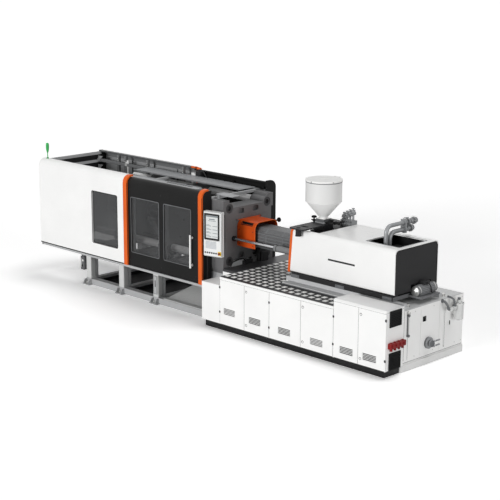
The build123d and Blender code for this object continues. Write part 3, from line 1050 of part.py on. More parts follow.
def cabinet_door(left, right, top, hinge_side, vent, vent_z):
    """A cabinet door: sheet with louvre slots, bores for its hinge pins and two round locks."""
    edges = (left + DOOR_GAP, right - DOOR_GAP)
    sheet_y = (CABINET_FRONT, CABINET_FRONT + SHEET)
    block(edges, sheet_y, (CABINET_BOTTOM + DOOR_GAP, top - DOOR_GAP))
    for row in range(VENT_ROWS):
        low = vent_z + (row - VENT_ROWS / 2) * VENT_PITCH
        block((vent - VENT_HALF, vent + VENT_HALF), sheet_y, (low, low + VENT_OPEN), Mode.SUBTRACT)
    pin_x = edges[0] + PIN_IN if hinge_side < 0 else edges[1] - PIN_IN
    bore_low = (CABINET_BOTTOM, CABINET_BOTTOM + DOOR_PIN_LONG + DOOR_GAP)
    bore_high = (top - DOOR_PIN_LONG - BITE, top)
    for bore in (bore_low, bore_high):
        bar_z(pin_x, DOOR_PIN_Y, bore, DOOR_PIN_R + RUN, Mode.SUBTRACT)
    if hinge_side > 0:
        for level in (CABINET_BOTTOM + LOCK_UP, top - LOCK_UP):
            bar_y(edges[0] + LOCK_IN, (CABINET_FRONT - LOCK_OUT, CABINET_FRONT), level, LOCK_R)


VENT_ROWS = 5
VENT_PITCH = 22.0
VENT_OPEN = 10.0
VENT_HALF = 125.0
LOCK_IN = 45.0
LOCK_R = 15.0
LOCK_UP = 95.0
LOCK_OUT = 4.0
VENT_XS = (3124.0, 3695.0, 4336.0, 5004.0, 5599.0, 6045.0)
VENT_ZS = (362.0, 332.0, 307.0, 283.0, 282.0, 280.0)
VENTS = zip(VENT_XS, VENT_ZS)
DOORS = list(zip(MAIN_SEAMS[:-1], MAIN_SEAMS[1:])) + list(zip(RAISED_SEAMS[:-1], RAISED_SEAMS[1:]))
for number, ((left, right), (vent_x, vent_z)) in enumerate(zip(DOORS, VENTS), start=1):
    door_top = HEADER_Z if number <= len(DOOR_WIDTHS) else RAISED_HEADER_Z
    hinge_side = -1 if number % 2 else 1
    with BuildPart() as door:
        cabinet_door(left, right, door_top, hinge_side, vent_x, vent_z)
    keep(door, f"cabinet_door_{number}")

# Two louvred grilles and the service manifold on the cabinet's end face
END_X = RAISED_SEAMS[-1]
GRILLE_Y = (-973.0, -720.0)
GRILLE_LEVELS = ((785.0, 1020.0), (135.0, 385.0))
GRILLE_THICK = 14.0
LOUVRE_PITCH = 24.0
LOUVRE_SET = 15.0     # slots from the grilles' sides
LOUVRE_BACK = 4.0     # thickness left behind the slots
with BuildPart() as vent_grilles:
    for low, high in GRILLE_LEVELS:
        block((END_X, END_X + GRILLE_THICK), GRILLE_Y, (low, high))
        rows = int((high - low - LOUVRE_PITCH) / LOUVRE_PITCH)
        for row in range(rows):
            slot_z = low + LOUVRE_PITCH * (row + 0.75)
            slot = (slot_z, slot_z + LOUVRE_PITCH / 2)
            louvre_y = (GRILLE_Y[0] + LOUVRE_SET, GRILLE_Y[1] - LOUVRE_SET)
            block((END_X + LOUVRE_BACK, END_X + GRILLE_THICK), louvre_y, slot, Mode.SUBTRACT)
keep(vent_grilles, "vent_grilles")

MANIFOLD_Y = (-1005.0, -655.0)
MANIFOLD_Z = (470.0, 549.0)
MANIFOLD_X = (END_X, END_X + 60.0)
PORTS = 4
PORT_R = 20.0
PORT_DOWN = 35.0
PLUG_R = 16.0
PLUG_OUT = 12.0
with BuildPart() as service_manifold:
    block(MANIFOLD_X, MANIFOLD_Y, MANIFOLD_Z)
    port_pitch = (MANIFOLD_Y[1] - MANIFOLD_Y[0]) / PORTS
    for count in range(PORTS):
        port_y = MANIFOLD_Y[0] + (count + 0.5) * port_pitch
        bar_z(sum(MANIFOLD_X) / 2, port_y, (MANIFOLD_Z[0] - PORT_DOWN, MANIFOLD_Z[0]), PORT_R)
        bar_x((MANIFOLD_X[1], MANIFOLD_X[1] + PLUG_OUT), port_y, sum(MANIFOLD_Z) / 2, PLUG_R)
keep(service_manifold, "service_manifold")

# Oil filter on its bracket, with lid and pipe unions
FILTER_X = 6385.0
FILTER_Y = 640.0
FILTER_R = 75.0
FILTER_Z = (600.0, 830.0)
FILTER_LID_Z = (FILTER_Z[1], FILTER_Z[1] + 22.0)
FILTER_KNOB_Z = (FILTER_LID_Z[1], FILTER_LID_Z[1] + 48.0)
FILTER_LID_R = FILTER_R + 8.0
FILTER_KNOB_R = 38.0
FILTER_BLOCK_Y = (FILTER_Y - 40.0, FILTER_Y + 40.0)
FILTER_BLOCK_Z = (FILTER_Z[0] + 60.0, FILTER_Z[1] - 60.0)
UNION_PIPE_R = 24.0
UNION_Z = FILTER_Z[1] - 40.0
UNION_END_Y = FILTER_Y - 240.0
UNION_YS = (FILTER_Y - 210.0, FILTER_Y - 140.0)
UNION_HALF = 16.0
UNION_R = 36.0
with BuildPart() as oil_filter:
    bar_z(FILTER_X, FILTER_Y, FILTER_Z, FILTER_R)
    bar_z(FILTER_X, FILTER_Y, FILTER_LID_Z, FILTER_LID_R)
    bar_z(FILTER_X, FILTER_Y, FILTER_KNOB_Z, FILTER_KNOB_R)
    block((BED_RIGHT_X, FILTER_X), FILTER_BLOCK_Y, FILTER_BLOCK_Z)
    bar_y(FILTER_X, (UNION_END_Y, FILTER_Y), UNION_Z, UNION_PIPE_R)
    for union_y in UNION_YS:
        bar_y(FILTER_X, (union_y - UNION_HALF, union_y + UNION_HALF), UNION_Z, UNION_R)
    bar_x((BED_RIGHT_X, FILTER_X), sum(UNION_YS) / 2, UNION_Z, UNION_PIPE_R)
keep(oil_filter, "oil_filter")

# Level gauge and drain valve body with its lever stems
GAUGE_Y = (-495.0, -465.0)
GAUGE_Z = (530.0, 870.0)
VALVE_Y = 25.0
VALVE_Z = 330.0
VALVE_R = 88.0
VALVE_END_X = BED_RIGHT_X + 95.0
STEM_Y = 45.0
STEM_R = 8.0
STEM_OFFSET = 36.0
GAUGE_THICK = 16.0
GAUGE_CAP_R = 22.0
GAUGE_CAP_LONG = 34.0
GAUGE_CAP_IN = 15.0   # gauge caps from its ends
FLANGE_LONG = 22.0    # thickness of the drain valve's flange
VALVE_BODY_R = 52.0
VALVE_BOLTS = 6
BOLT_CIRCLE_R = 70.0
BOLT_R = 9.0
BOLT_HIGH = 10.0
LEVER_R = 20.0
LEVER_LONG = 130.0
LEVER_HALF = 9.0
LEVER_END_R = 13.0
LEVER_THICK = 15.0
STEM_X = (VALVE_END_X - LEVER_THICK, VALVE_END_X + LEVER_THICK + 5.0)
with BuildPart() as tank_fittings:
    block((BED_RIGHT_X, BED_RIGHT_X + GAUGE_THICK), GAUGE_Y, GAUGE_Z)
    for level in (GAUGE_Z[0] + GAUGE_CAP_IN, GAUGE_Z[1] - GAUGE_CAP_IN):
        bar_x((BED_RIGHT_X, BED_RIGHT_X + GAUGE_CAP_LONG), sum(GAUGE_Y) / 2, level, GAUGE_CAP_R)
    flange_x = (BED_RIGHT_X, BED_RIGHT_X + FLANGE_LONG)
    bar_x(flange_x, VALVE_Y, VALVE_Z, VALVE_R)
    bar_x((BED_RIGHT_X, VALVE_END_X), VALVE_Y, VALVE_Z, VALVE_BODY_R)
    for level in (-1, 1):
        bar_x(STEM_X, STEM_Y, VALVE_Z + level * STEM_OFFSET, STEM_R)
    for count in range(VALVE_BOLTS):
        angle = radians(360 / VALVE_BOLTS * count)
        bolt = (VALVE_Y + BOLT_CIRCLE_R * cos(angle), VALVE_Z + BOLT_CIRCLE_R * sin(angle))
        bar_x((flange_x[1], flange_x[1] + BOLT_HIGH), bolt[0], bolt[1], BOLT_R)
keep(tank_fittings, "tank_fittings")

for level, word in ((1, "upper"), (-1, "lower")):
    with BuildPart() as valve_lever:
        stem_z = VALVE_Z + level * STEM_OFFSET
        lever_x = (VALVE_END_X + SIDE, VALVE_END_X + LEVER_THICK)
        bar_x(lever_x, STEM_Y, stem_z, LEVER_R)
        block(lever_x, (STEM_Y, STEM_Y + LEVER_LONG), (stem_z - LEVER_HALF, stem_z + LEVER_HALF))
        bar_x(lever_x, STEM_Y + LEVER_LONG, stem_z, LEVER_END_R)
        bar_x(lever_x, STEM_Y, stem_z, STEM_R + RUN, Mode.SUBTRACT)
    keep(valve_lever, f"valve_lever_{word}")

# Injection carriage: base on the rails, feed block, rear block, guide rods, pull cylinders, motor
BASE_X = (3940.0, 5990.0)
BASE_HALF_Y = 470.0
BASE_Z = (RAIL_TOP + SEAT, 1060.0)
FEED_X = (4040.0, 4340.0)
FEED_Y = 200.0
REAR_BLOCK_X = (5190.0, 5490.0)
REAR_BLOCK_Y = 300.0
REAR_BLOCK_TOP = 1560.0
DRIVE_ROD_Y = 150.0
DRIVE_ROD_R = 32.0
PULL_Y = 350.0
PULL_ROD_R = 22.0
PULL_R = 48.0
PULL_Z = 1370.0
PULL_X = (3475.0, FEED_X[0])
PULL_BORE_X = 3880.0
PULL_RING = 12.0      # rings and plate around the pull cylinders
PULL_RING_LONG = 40.0
PULL_PLATE = 60.0     # thickness of the plate that holds the pull cylinders
PULL_PLATE_HALF = 80.0
PULL_ROD_SHORT = 20.0     # pull rods end before the bore's end
PULL_FLANGE = (35.0, 42.0)        # length and radius of the rods' flanges on the platen
MOTOR_X = (5985.0, 6235.0)
MOTOR_Y = (-100.0, 350.0)
MOTOR_Z = (1010.0, 1190.0)
MOTOR_PLATE = 30.0
MOTOR_PLATE_LAP = 60.0
MOTOR_R = 78.0
PIPE_X = 5585.0
PIPE_BASE_HALF = 80.0     # base of the pipes around them along X
PIPE_BASE_SIDE = 70.0     # base of the pipes around them along Y
PIPE_R = 32.0
PIPE_A_Y = -170.0
PIPE_B_Y = -80.0
PIPE_BASE_Z = 1500.0
SUPPORT_Y = (430.0, BASE_HALF_Y)
SUPPORT_XS = (COVER_STEP_X + 60.0, COVER_RIGHT_X - 180.0)
SUPPORT_HALF = 40.0
CONSOLE_X = FEED_X[0] + 60.0      # console under the valve block
CONSOLE_IN = 40.0
VALVE_BLOCK_X = (4235.0, 4485.0)
VALVE_BLOCK_Y = (340.0, 460.0)
VALVE_BLOCK_Z = (1740.0, 1860.0)
with BuildPart() as injection_carriage:
    block(BASE_X, (-BASE_HALF_Y, BASE_HALF_Y), BASE_Z)
    block(FEED_X, (-FEED_Y, FEED_Y), (BASE_Z[1], THROAT_Z))
    block(REAR_BLOCK_X, (-REAR_BLOCK_Y, REAR_BLOCK_Y), (BASE_Z[1], REAR_BLOCK_TOP))
    pipe_base_x = (PIPE_X - PIPE_BASE_HALF, PIPE_X + PIPE_BASE_HALF)
    pipe_base_y = (PIPE_A_Y - PIPE_BASE_SIDE, PIPE_B_Y + PIPE_BASE_SIDE)
    block(pipe_base_x, pipe_base_y, (BASE_Z[1], PIPE_BASE_Z))
    plate_y = PULL_Y + PULL_R + PULL_RING
    plate_z = (PULL_Z - PULL_PLATE_HALF, PULL_Z + PULL_PLATE_HALF)
    block((FEED_X[0], FEED_X[0] + PULL_PLATE), (-plate_y, plate_y), plate_z)
    for side in (-1, 1):
        bar_x((FEED_X[1], REAR_BLOCK_X[0]), side * DRIVE_ROD_Y, AXIS_Z, DRIVE_ROD_R)
        bar_x(PULL_X, side * PULL_Y, PULL_Z, PULL_R)
        for ring_x in (PULL_X[0], PULL_X[1] - PULL_RING_LONG):
            bar_x((ring_x, ring_x + PULL_RING_LONG), side * PULL_Y, PULL_Z, PULL_R + PULL_RING)
        bar_x((PULL_X[0], PULL_BORE_X), side * PULL_Y, PULL_Z, PULL_ROD_R + RUN, Mode.SUBTRACT)
        for support_x in SUPPORT_XS:
            support = (support_x - SUPPORT_HALF, support_x + SUPPORT_HALF)
            block(support, (side * SUPPORT_Y[0], side * SUPPORT_Y[1]), (BASE_Z[1], COVER_BOTTOM))
    left_support = (BASE_X[0] + SUPPORT_HALF, BASE_X[0] + 3 * SUPPORT_HALF)
    block(left_support, (-BASE_HALF_Y, -SUPPORT_Y[0]), (BASE_Z[1], COVER_BOTTOM))
    bar_x((FEED_X[0], FEED_X[1]), 0, AXIS_Z, SCREW_R + RUN, Mode.SUBTRACT)
    bar_z(HOPPER_X, 0, (AXIS_Z, THROAT_Z), HOPPER_NECK_R, Mode.SUBTRACT)
    motor_plate_z = (MOTOR_Z[0], MOTOR_Z[0] + MOTOR_PLATE)
    block((BASE_X[1] - MOTOR_PLATE_LAP, MOTOR_X[1]), MOTOR_Y, motor_plate_z)
    bar_y(sum(MOTOR_X) / 2, MOTOR_Y, MOTOR_Z[1] - MOTOR_R, MOTOR_R)
    console_z = (THROAT_Z, VALVE_BLOCK_Z[0])
    block((CONSOLE_X, VALVE_BLOCK_X[1]), (FEED_Y, VALVE_BLOCK_Y[1]), console_z)
    block((CONSOLE_X, FEED_X[1]), (FEED_Y - CONSOLE_IN, FEED_Y), console_z)
keep(injection_carriage, "injection_carriage")

# Pull rods between the stationary platen and the carriage's pull cylinders
with BuildPart() as carriage_rods:
    for side in (-1, 1):
        bar_x((FIXED_BACK_X, PULL_BORE_X - PULL_ROD_SHORT), side * PULL_Y, PULL_Z, PULL_ROD_R)
        bar_x((FIXED_BACK_X, FIXED_BACK_X + PULL_FLANGE[0]), side * PULL_Y, PULL_Z, PULL_FLANGE[1])
keep(carriage_rods, "carriage_rods")

# Screw drive: bearing block on the guide rods with its motor behind it
DRIVE_X = (4420.0, 4620.0)
DRIVE_MOTOR_X = (DRIVE_X[1], DRIVE_X[1] + 300.0)
DRIVE_HALF_Z = 150.0
DRIVE_SIDE = 40.0     # drive block wider than the feed block, each side
DRIVE_ROUND = 30.0
SCREW_END_X = DRIVE_X[0] + 120.0
with BuildPart() as screw_drive:
    drive_y = FEED_Y + DRIVE_SIDE
    block(DRIVE_X, (-drive_y, drive_y), (AXIS_Z - DRIVE_HALF_Z, AXIS_Z + DRIVE_HALF_Z))
    fillet(screw_drive.edges().filter_by(Axis.X), DRIVE_ROUND)
    bar_x(DRIVE_MOTOR_X, 0, AXIS_Z, DRIVE_ROD_Y - DRIVE_ROD_R - SLIP)
    for side in (-1, 1):
        bar_x(DRIVE_X, side * DRIVE_ROD_Y, AXIS_Z, DRIVE_ROD_R + RUN, Mode.SUBTRACT)
    bar_x((DRIVE_X[0], SCREW_END_X), 0, AXIS_Z, SCREW_R + RUN, Mode.SUBTRACT)
keep(screw_drive, "screw_drive")

# Barrel with bore, nozzle and heater bands
NOZZLE_TIP_X = 2330.0
BARREL_X = (2560.0, FEED_X[0])
BORE_X = 2700.0
BAND_LONG = 150.0
BAND_PITCH = 200.0
BAND_COUNT = 5
BAND_FIRST_X = 2820.0
NOZZLE_CONE = 80.0    # length of the cone between nozzle and barrel
BARREL_EDGE = 15.0
NOZZLE_EDGE = 10.0
with BuildPart() as barrel:
    bar_x(BARREL_X, 0, AXIS_Z, BARREL_R)
    with BuildSketch(Plane.XZ):
        with BuildLine():
            Polyline(
                (NOZZLE_TIP_X, AXIS_Z),
                (NOZZLE_TIP_X, AXIS_Z + NOZZLE_R / 3),
                (NOZZLE_TIP_X + NOZZLE_R / 2, AXIS_Z + NOZZLE_R - NOZZLE_EDGE),
                (BARREL_X[0] - NOZZLE_CONE, AXIS_Z + NOZZLE_R),
                (BARREL_X[0], AXIS_Z + BARREL_R - BARREL_EDGE),
                (BARREL_X[0], AXIS_Z),
                close=True,
            )
        make_face()
    revolve(axis=Axis((0, 0, AXIS_Z), (1, 0, 0)))
    for count in range(BAND_COUNT):
        band_x = BAND_FIRST_X + count * BAND_PITCH
        bar_x((band_x, band_x + BAND_LONG), 0, AXIS_Z, BAND_R)
    bar_x((BORE_X, BARREL_X[1]), 0, AXIS_Z, SCREW_R + RUN, Mode.SUBTRACT)
    bar_x((NOZZLE_TIP_X, BORE_X), 0, AXIS_Z, NOZZLE_R / 6, Mode.SUBTRACT)
keep(barrel, "barrel")

# Screw with a pointed tip; its flights are left to the looks
SCREW_TIP = 50.0      # length of the screw's tip
SCREW_START_X = BORE_X + 60.0
with BuildPart() as screw:
    bar_x((SCREW_START_X, SCREW_END_X - SIDE), 0, AXIS_Z, SCREW_R)
    with Locations((SCREW_START_X - SCREW_TIP / 2, 0, AXIS_Z)):
        Cone(SCREW_R, SCREW_R / 4, SCREW_TIP, rotation=(0, -90, 0))
keep(screw, "screw")

# Barrel cover: folded sheet tube with two end plates that sit on the barrel
BARREL_COVER_AHEAD = 230.0   # left end past the platen's back face
BARREL_COVER_SHORT = 11.0    # right end short of the injection cover
BARREL_COVER_X = (FIXED_BACK_X + BARREL_COVER_AHEAD, COVER_LEFT_X - BARREL_COVER_SHORT)
BARREL_COVER_HALF = 200.0     # half of its width
BARREL_COVER_Z = (AXIS_Z - 200.0, AXIS_Z + 155.0)
BARREL_COVER_WALL = 15.0
BARREL_COVER_FOLD = 62.0
with BuildPart() as barrel_cover:
    for inset, mode in ((0.0, Mode.ADD), (BARREL_COVER_WALL, Mode.SUBTRACT)):
        ends = BARREL_COVER_WALL if mode == Mode.SUBTRACT else 0.0
        half = BARREL_COVER_HALF - inset
        with BuildSketch(Plane.YZ.offset(BARREL_COVER_X[0] + ends)) as outline:
            with Locations((0, sum(BARREL_COVER_Z) / 2)):
                Rectangle(2 * half, BARREL_COVER_Z[1] - BARREL_COVER_Z[0] - 2 * inset)
            chamfer(outline.vertices(), BARREL_COVER_FOLD)
        extrude(outline.sketch, amount=BARREL_COVER_X[1] - BARREL_COVER_X[0] - 2 * ends, mode=mode)
    bar_x(BARREL_COVER_X, 0, AXIS_Z, BARREL_R, Mode.SUBTRACT)
keep(barrel_cover, "barrel_cover")

# Injection cover: rounded sheet tube, open below, with a square top opening and a leaning front edge
EDGE_LEAN = 60.0
COVER_MID_Z = (COVER_BOTTOM + COVER_TOP) / 2
COVER_HIGH = COVER_TOP - COVER_BOTTOM
END_INSET = 5.0
END_THICK = 25.0
MOTOR_ROOM = 20.0     # cut out around the motor, each side
MOTOR_ABOVE = 15.0    # cut out over the motor
with BuildPart() as injection_cover:
    for inset, mode in ((0.0, Mode.ADD), (COVER_WALL, Mode.SUBTRACT)):
        with BuildSketch(Plane.YZ.offset(COVER_LEFT_X)) as outline:
            with Locations((0, COVER_MID_Z)):
                RectangleRounded(2 * (COVER_Y - inset), COVER_HIGH - 2 * inset, COVER_ROUND - inset)
        extrude(outline.sketch, amount=COVER_RIGHT_X - COVER_LEFT_X, mode=mode)
    end_x = COVER_RIGHT_X - END_INSET - END_THICK
    below = (COVER_BOTTOM, COVER_BOTTOM + COVER_WALL)
    block((COVER_LEFT_X, COVER_RIGHT_X), (-SUPPORT_Y[0], SUPPORT_Y[0]), below, Mode.SUBTRACT)
    step_x = (COVER_LEFT_X, COVER_STEP_X)
    step_y = (-COVER_Y + COVER_ROUND, COVER_Y)
    block(step_x, step_y, (COVER_BOTTOM + COVER_WALL, COVER_TOP), Mode.SUBTRACT)
    block(step_x, (0, COVER_Y), (COVER_BOTTOM, COVER_TOP), Mode.SUBTRACT)
    block(TOP_HOLE_X, (-TOP_HOLE_Y, TOP_HOLE_Y), (COVER_TOP - COVER_WALL, COVER_TOP), Mode.SUBTRACT)
    with BuildSketch(Plane.XZ.offset(-COVER_Y)) as lean:
        with BuildLine():
            Polyline(
                (COVER_LEFT_X, COVER_BOTTOM),
                (COVER_LEFT_X + EDGE_LEAN, COVER_TOP),
                (COVER_LEFT_X, COVER_TOP),
                close=True,
            )
        make_face()
    extrude(lean.sketch, amount=2 * COVER_Y, mode=Mode.SUBTRACT)
keep(injection_cover, "injection_cover")

# Dark end cover inside the white rim, cut out over the motor
with BuildPart() as cover_end:
    with BuildSketch(Plane.YZ.offset(end_x)) as outline:
        with Locations((0, COVER_MID_Z)):
            end_size = (2 * (COVER_Y - COVER_WALL), COVER_HIGH - 2 * COVER_WALL)
            RectangleRounded(*end_size, COVER_ROUND - COVER_WALL)
    extrude(outline.sketch, amount=END_THICK)
    motor_space = (MOTOR_Y[0] - MOTOR_ROOM, MOTOR_Y[1] + MOTOR_ROOM)
    motor_top = MOTOR_Z[1] + MOTOR_ABOVE
    block((end_x, end_x + END_THICK), motor_space, (COVER_BOTTOM, motor_top), Mode.SUBTRACT)
keep(cover_end, "cover_end")

# Hopper slide: throat block, long plate with an oval hole, and the emptying spout
SLIDE_Y = (-640.0, 320.0)
SPOUT_Y = -580.0
SPOUT_R = 45.0
SPOUT_Z = THROAT_Z + 20.0
OVAL_Y = -440.0
SLIDE_LOW_Z = SLIDE_TOP_Z - SLIDE_THICK
THROAT_HALF = 110.0
THROAT_FOOT = (140.0, 150.0, 30.0)        # half size along X and Y, and height
SLIDE_ROUND = 30.0
SPOUT_WALL = 8.0
SPOUT_BORE_LOW = SPOUT_Z - 20.0
OVAL = (150.0, 60.0)
SLIDE_X = (HOPPER_X - SLIDE_WIDE / 2, HOPPER_X + SLIDE_WIDE / 2)
with BuildPart() as hopper_slide:
    block(SLIDE_X, SLIDE_Y, (SLIDE_LOW_Z, SLIDE_TOP_Z))
    fillet(hopper_slide.edges().filter_by(Axis.Z), SLIDE_ROUND)
    foot_top = THROAT_Z + THROAT_FOOT[2]
    throat_x = (HOPPER_X - THROAT_HALF, HOPPER_X + THROAT_HALF)
    block(throat_x, (-THROAT_HALF, THROAT_HALF), (foot_top, SLIDE_LOW_Z))
    foot_x = (HOPPER_X - THROAT_FOOT[0], HOPPER_X + THROAT_FOOT[0])
    block(foot_x, (-THROAT_FOOT[1], THROAT_FOOT[1]), (THROAT_Z, foot_top))
    bar_z(HOPPER_X, SPOUT_Y, (SPOUT_Z, SLIDE_LOW_Z), SPOUT_R)
    for hole_y in (0.0, SPOUT_Y):
        bore_z = (SPOUT_BORE_LOW, SLIDE_TOP_Z)
        bar_z(HOPPER_X, hole_y, bore_z, SPOUT_R - SPOUT_WALL, Mode.SUBTRACT)
    with BuildSketch(Plane.XY.offset(SLIDE_LOW_Z)) as oval:
        with Locations((HOPPER_X, OVAL_Y)):
            SlotOverall(*OVAL)
    extrude(oval.sketch, amount=SLIDE_THICK, mode=Mode.SUBTRACT)
keep(hopper_slide, "hopper_slide")

# Hopper: foot block, cone and cylinder, with the lid's hinge lugs at the rear
FOOT_HALF = 85.0
NECK_LAP = 10.0       # the cone's neck runs into the foot block
HOPPER_AXIS = Axis((HOPPER_X, 0, 0), (0, 0, 1))
LID_R = HOPPER_R + 8.0
LID_SEAT_Z = HOPPER_RIM_Z + SEAT
LID_HINGE_Y = HOPPER_R + 26.0
LID_HINGE_Z = HOPPER_RIM_Z + 14.0
LID_PIN_R = 6.0
LID_LUG_X = (45.0, 57.0)
LID_LUG_END_Y = LID_HINGE_Y + 14.0
LID_LUG_Z = (LID_HINGE_Z - 44.0, HOPPER_RIM_Z - 4.0, LID_HINGE_Z + 12.0)
LID_LUG_IN = 20.0     # lugs reach this far inside the hopper's radius
NECK_LOW_Z = SLIDE_TOP_Z + SEAT
with BuildPart() as hopper:
    foot_x = (HOPPER_X - FOOT_HALF, HOPPER_X + FOOT_HALF)
    block(foot_x, (-FOOT_HALF, FOOT_HALF), (NECK_LOW_Z, HOPPER_NECK_Z))
    with BuildSketch(Plane.XZ):
        with BuildLine():
            Polyline(
                (HOPPER_X, HOPPER_NECK_Z - NECK_LAP),
                (HOPPER_X + HOPPER_NECK_R, HOPPER_NECK_Z - NECK_LAP),
                (HOPPER_X + HOPPER_NECK_R, HOPPER_NECK_Z),
                (HOPPER_X + HOPPER_R, HOPPER_CONE_Z),
                (HOPPER_X + HOPPER_R, HOPPER_RIM_Z),
                (HOPPER_X, HOPPER_RIM_Z),
                close=True,
            )
        make_face()
    revolve(axis=HOPPER_AXIS)
    for side in (-1, 1):
        lug = (HOPPER_X + side * LID_LUG_X[0], HOPPER_X + side * LID_LUG_X[1])
        block(lug, (HOPPER_R - LID_LUG_IN, LID_LUG_END_Y), LID_LUG_Z[:2])
        block(lug, (LID_R + 2 * SIDE, LID_LUG_END_Y), LID_LUG_Z[1:])
    bar_x((HOPPER_X - LID_LUG_X[1], HOPPER_X + LID_LUG_X[1]), LID_HINGE_Y, LID_HINGE_Z, LID_PIN_R)
    inner_r = HOPPER_R - HOPPER_WALL
    inner_neck = HOPPER_NECK_R - HOPPER_WALL
    with BuildSketch(Plane.XZ):
        with BuildLine():
            Polyline(
                (HOPPER_X, NECK_LOW_Z),
                (HOPPER_X + inner_neck, NECK_LOW_Z),
                (HOPPER_X + inner_neck, HOPPER_NECK_Z),
                (HOPPER_X + inner_r, HOPPER_CONE_Z),
                (HOPPER_X + inner_r, HOPPER_RIM_Z),
                (HOPPER_X, HOPPER_RIM_Z),
                close=True,
            )
        make_face()
    revolve(axis=HOPPER_AXIS, mode=Mode.SUBTRACT)
keep(hopper, "hopper")

# Lid: rim, shallow cone and top disc, hinged at the rear
LID_RIM = 20.0        # height of the lid's rim
LID_EDGE = (12.0, 6.0)            # width and height of the rim's sloping edge
LID_DISC_R = 70.0
LID_DISC = 4.0
with BuildPart() as hopper_lid:
    with BuildSketch(Plane.XZ):
        with BuildLine():
            Polyline(
                (HOPPER_X, LID_SEAT_Z),
                (HOPPER_X + LID_R, LID_SEAT_Z),
                (HOPPER_X + LID_R, LID_SEAT_Z + LID_RIM),
                (HOPPER_X + LID_R - LID_EDGE[0], LID_SEAT_Z + LID_RIM + LID_EDGE[1]),
                (HOPPER_X + LID_DISC_R, HOPPER_LID_Z - LID_DISC),
                (HOPPER_X + LID_DISC_R, HOPPER_LID_Z),
                (HOPPER_X, HOPPER_LID_Z),
                close=True,
            )
        make_face()
    revolve(axis=HOPPER_AXIS)
    knuckle_half = LID_LUG_X[0] - 2 * SIDE
    knuckle_x = (HOPPER_X - knuckle_half, HOPPER_X + knuckle_half)
    bar_x(knuckle_x, LID_HINGE_Y, LID_HINGE_Z, 2 * LID_PIN_R)
    block(knuckle_x, (LID_R - LID_LUG_IN, LID_HINGE_Y), (LID_HINGE_Z - LID_PIN_R, LID_HINGE_Z + LID_PIN_R))
    bar_x(knuckle_x, LID_HINGE_Y, LID_HINGE_Z, LID_PIN_R + RUN, Mode.SUBTRACT)
keep(hopper_lid, "hopper_lid")

# Bent cooling pipes with flanges and bracket, and the valve block beside the hopper
BEND_R = 110.0
FLANGE_R = 58.0
FLANGE_THICK = 26.0
PIPE_RUNS = ((PIPE_A_Y, 2030.0, 500.0), (PIPE_B_Y, 1925.0, 420.0))
PIPE_FLANGE_GAP = 150.0   # between the two flanges of each pipe
PIPE_COLLAR = 8.0
PIPE_BRACKET_Y = (235.0, 265.0)
PIPE_BRACKET_AROUND = 50.0
STUBS = 4
STUB_R = 18.0
STUB_FIRST = 90.0
STUB_STEP = 30.0
STUB_HEAD_R = 34.0
STUB_HEAD_DOWN = (40.0, 14.0)     # bottom and top of each head below the stub's end
with BuildPart() as pipework:
    for up_y, top_z, end_y in PIPE_RUNS:
        with BuildLine(Plane.YZ.offset(PIPE_X)) as path:
            rise = Line((up_y, PIPE_BASE_Z), (up_y, top_z - BEND_R))
            bend = CenterArc((up_y + BEND_R, top_z - BEND_R), BEND_R, 180, -90)
            across = Line((up_y + BEND_R, top_z), (end_y, top_z))
        with BuildSketch(Plane.XY.offset(PIPE_BASE_Z)) as section:
            with Locations((PIPE_X, up_y)):
                Circle(PIPE_R)
        sweep(section.sketch, path=path.wires()[0])
        for flange_y in (end_y - PIPE_FLANGE_GAP, end_y):
            bar_y(PIPE_X, (flange_y - FLANGE_THICK, flange_y), top_z, FLANGE_R)
        bar_z(PIPE_X, up_y, (PIPE_BASE_Z, PIPE_BASE_Z + FLANGE_THICK), PIPE_R + PIPE_COLLAR)
    bracket_x = (PIPE_X - PIPE_BRACKET_AROUND, PIPE_X + PIPE_BRACKET_AROUND)
    bracket_z = (PIPE_RUNS[1][1] - PIPE_BRACKET_AROUND, PIPE_RUNS[0][1] + PIPE_BRACKET_AROUND)
    block(bracket_x, PIPE_BRACKET_Y, bracket_z)
    block(VALVE_BLOCK_X, VALVE_BLOCK_Y, VALVE_BLOCK_Z)
    stub_pitch = (VALVE_BLOCK_X[1] - VALVE_BLOCK_X[0]) / STUBS
    stub_y = sum(VALVE_BLOCK_Y) / 2
    for count in range(STUBS):
        stub_x = VALVE_BLOCK_X[0] + (count + 0.5) * stub_pitch
        stub_top = VALVE_BLOCK_Z[1] + STUB_FIRST + STUB_STEP * count
        bar_z(stub_x, stub_y, (VALVE_BLOCK_Z[1], stub_top), STUB_R)
        head_z = (stub_top - STUB_HEAD_DOWN[0], stub_top - STUB_HEAD_DOWN[1])
        bar_z(stub_x, stub_y, head_z, STUB_HEAD_R)
keep(pipework, "pipework")

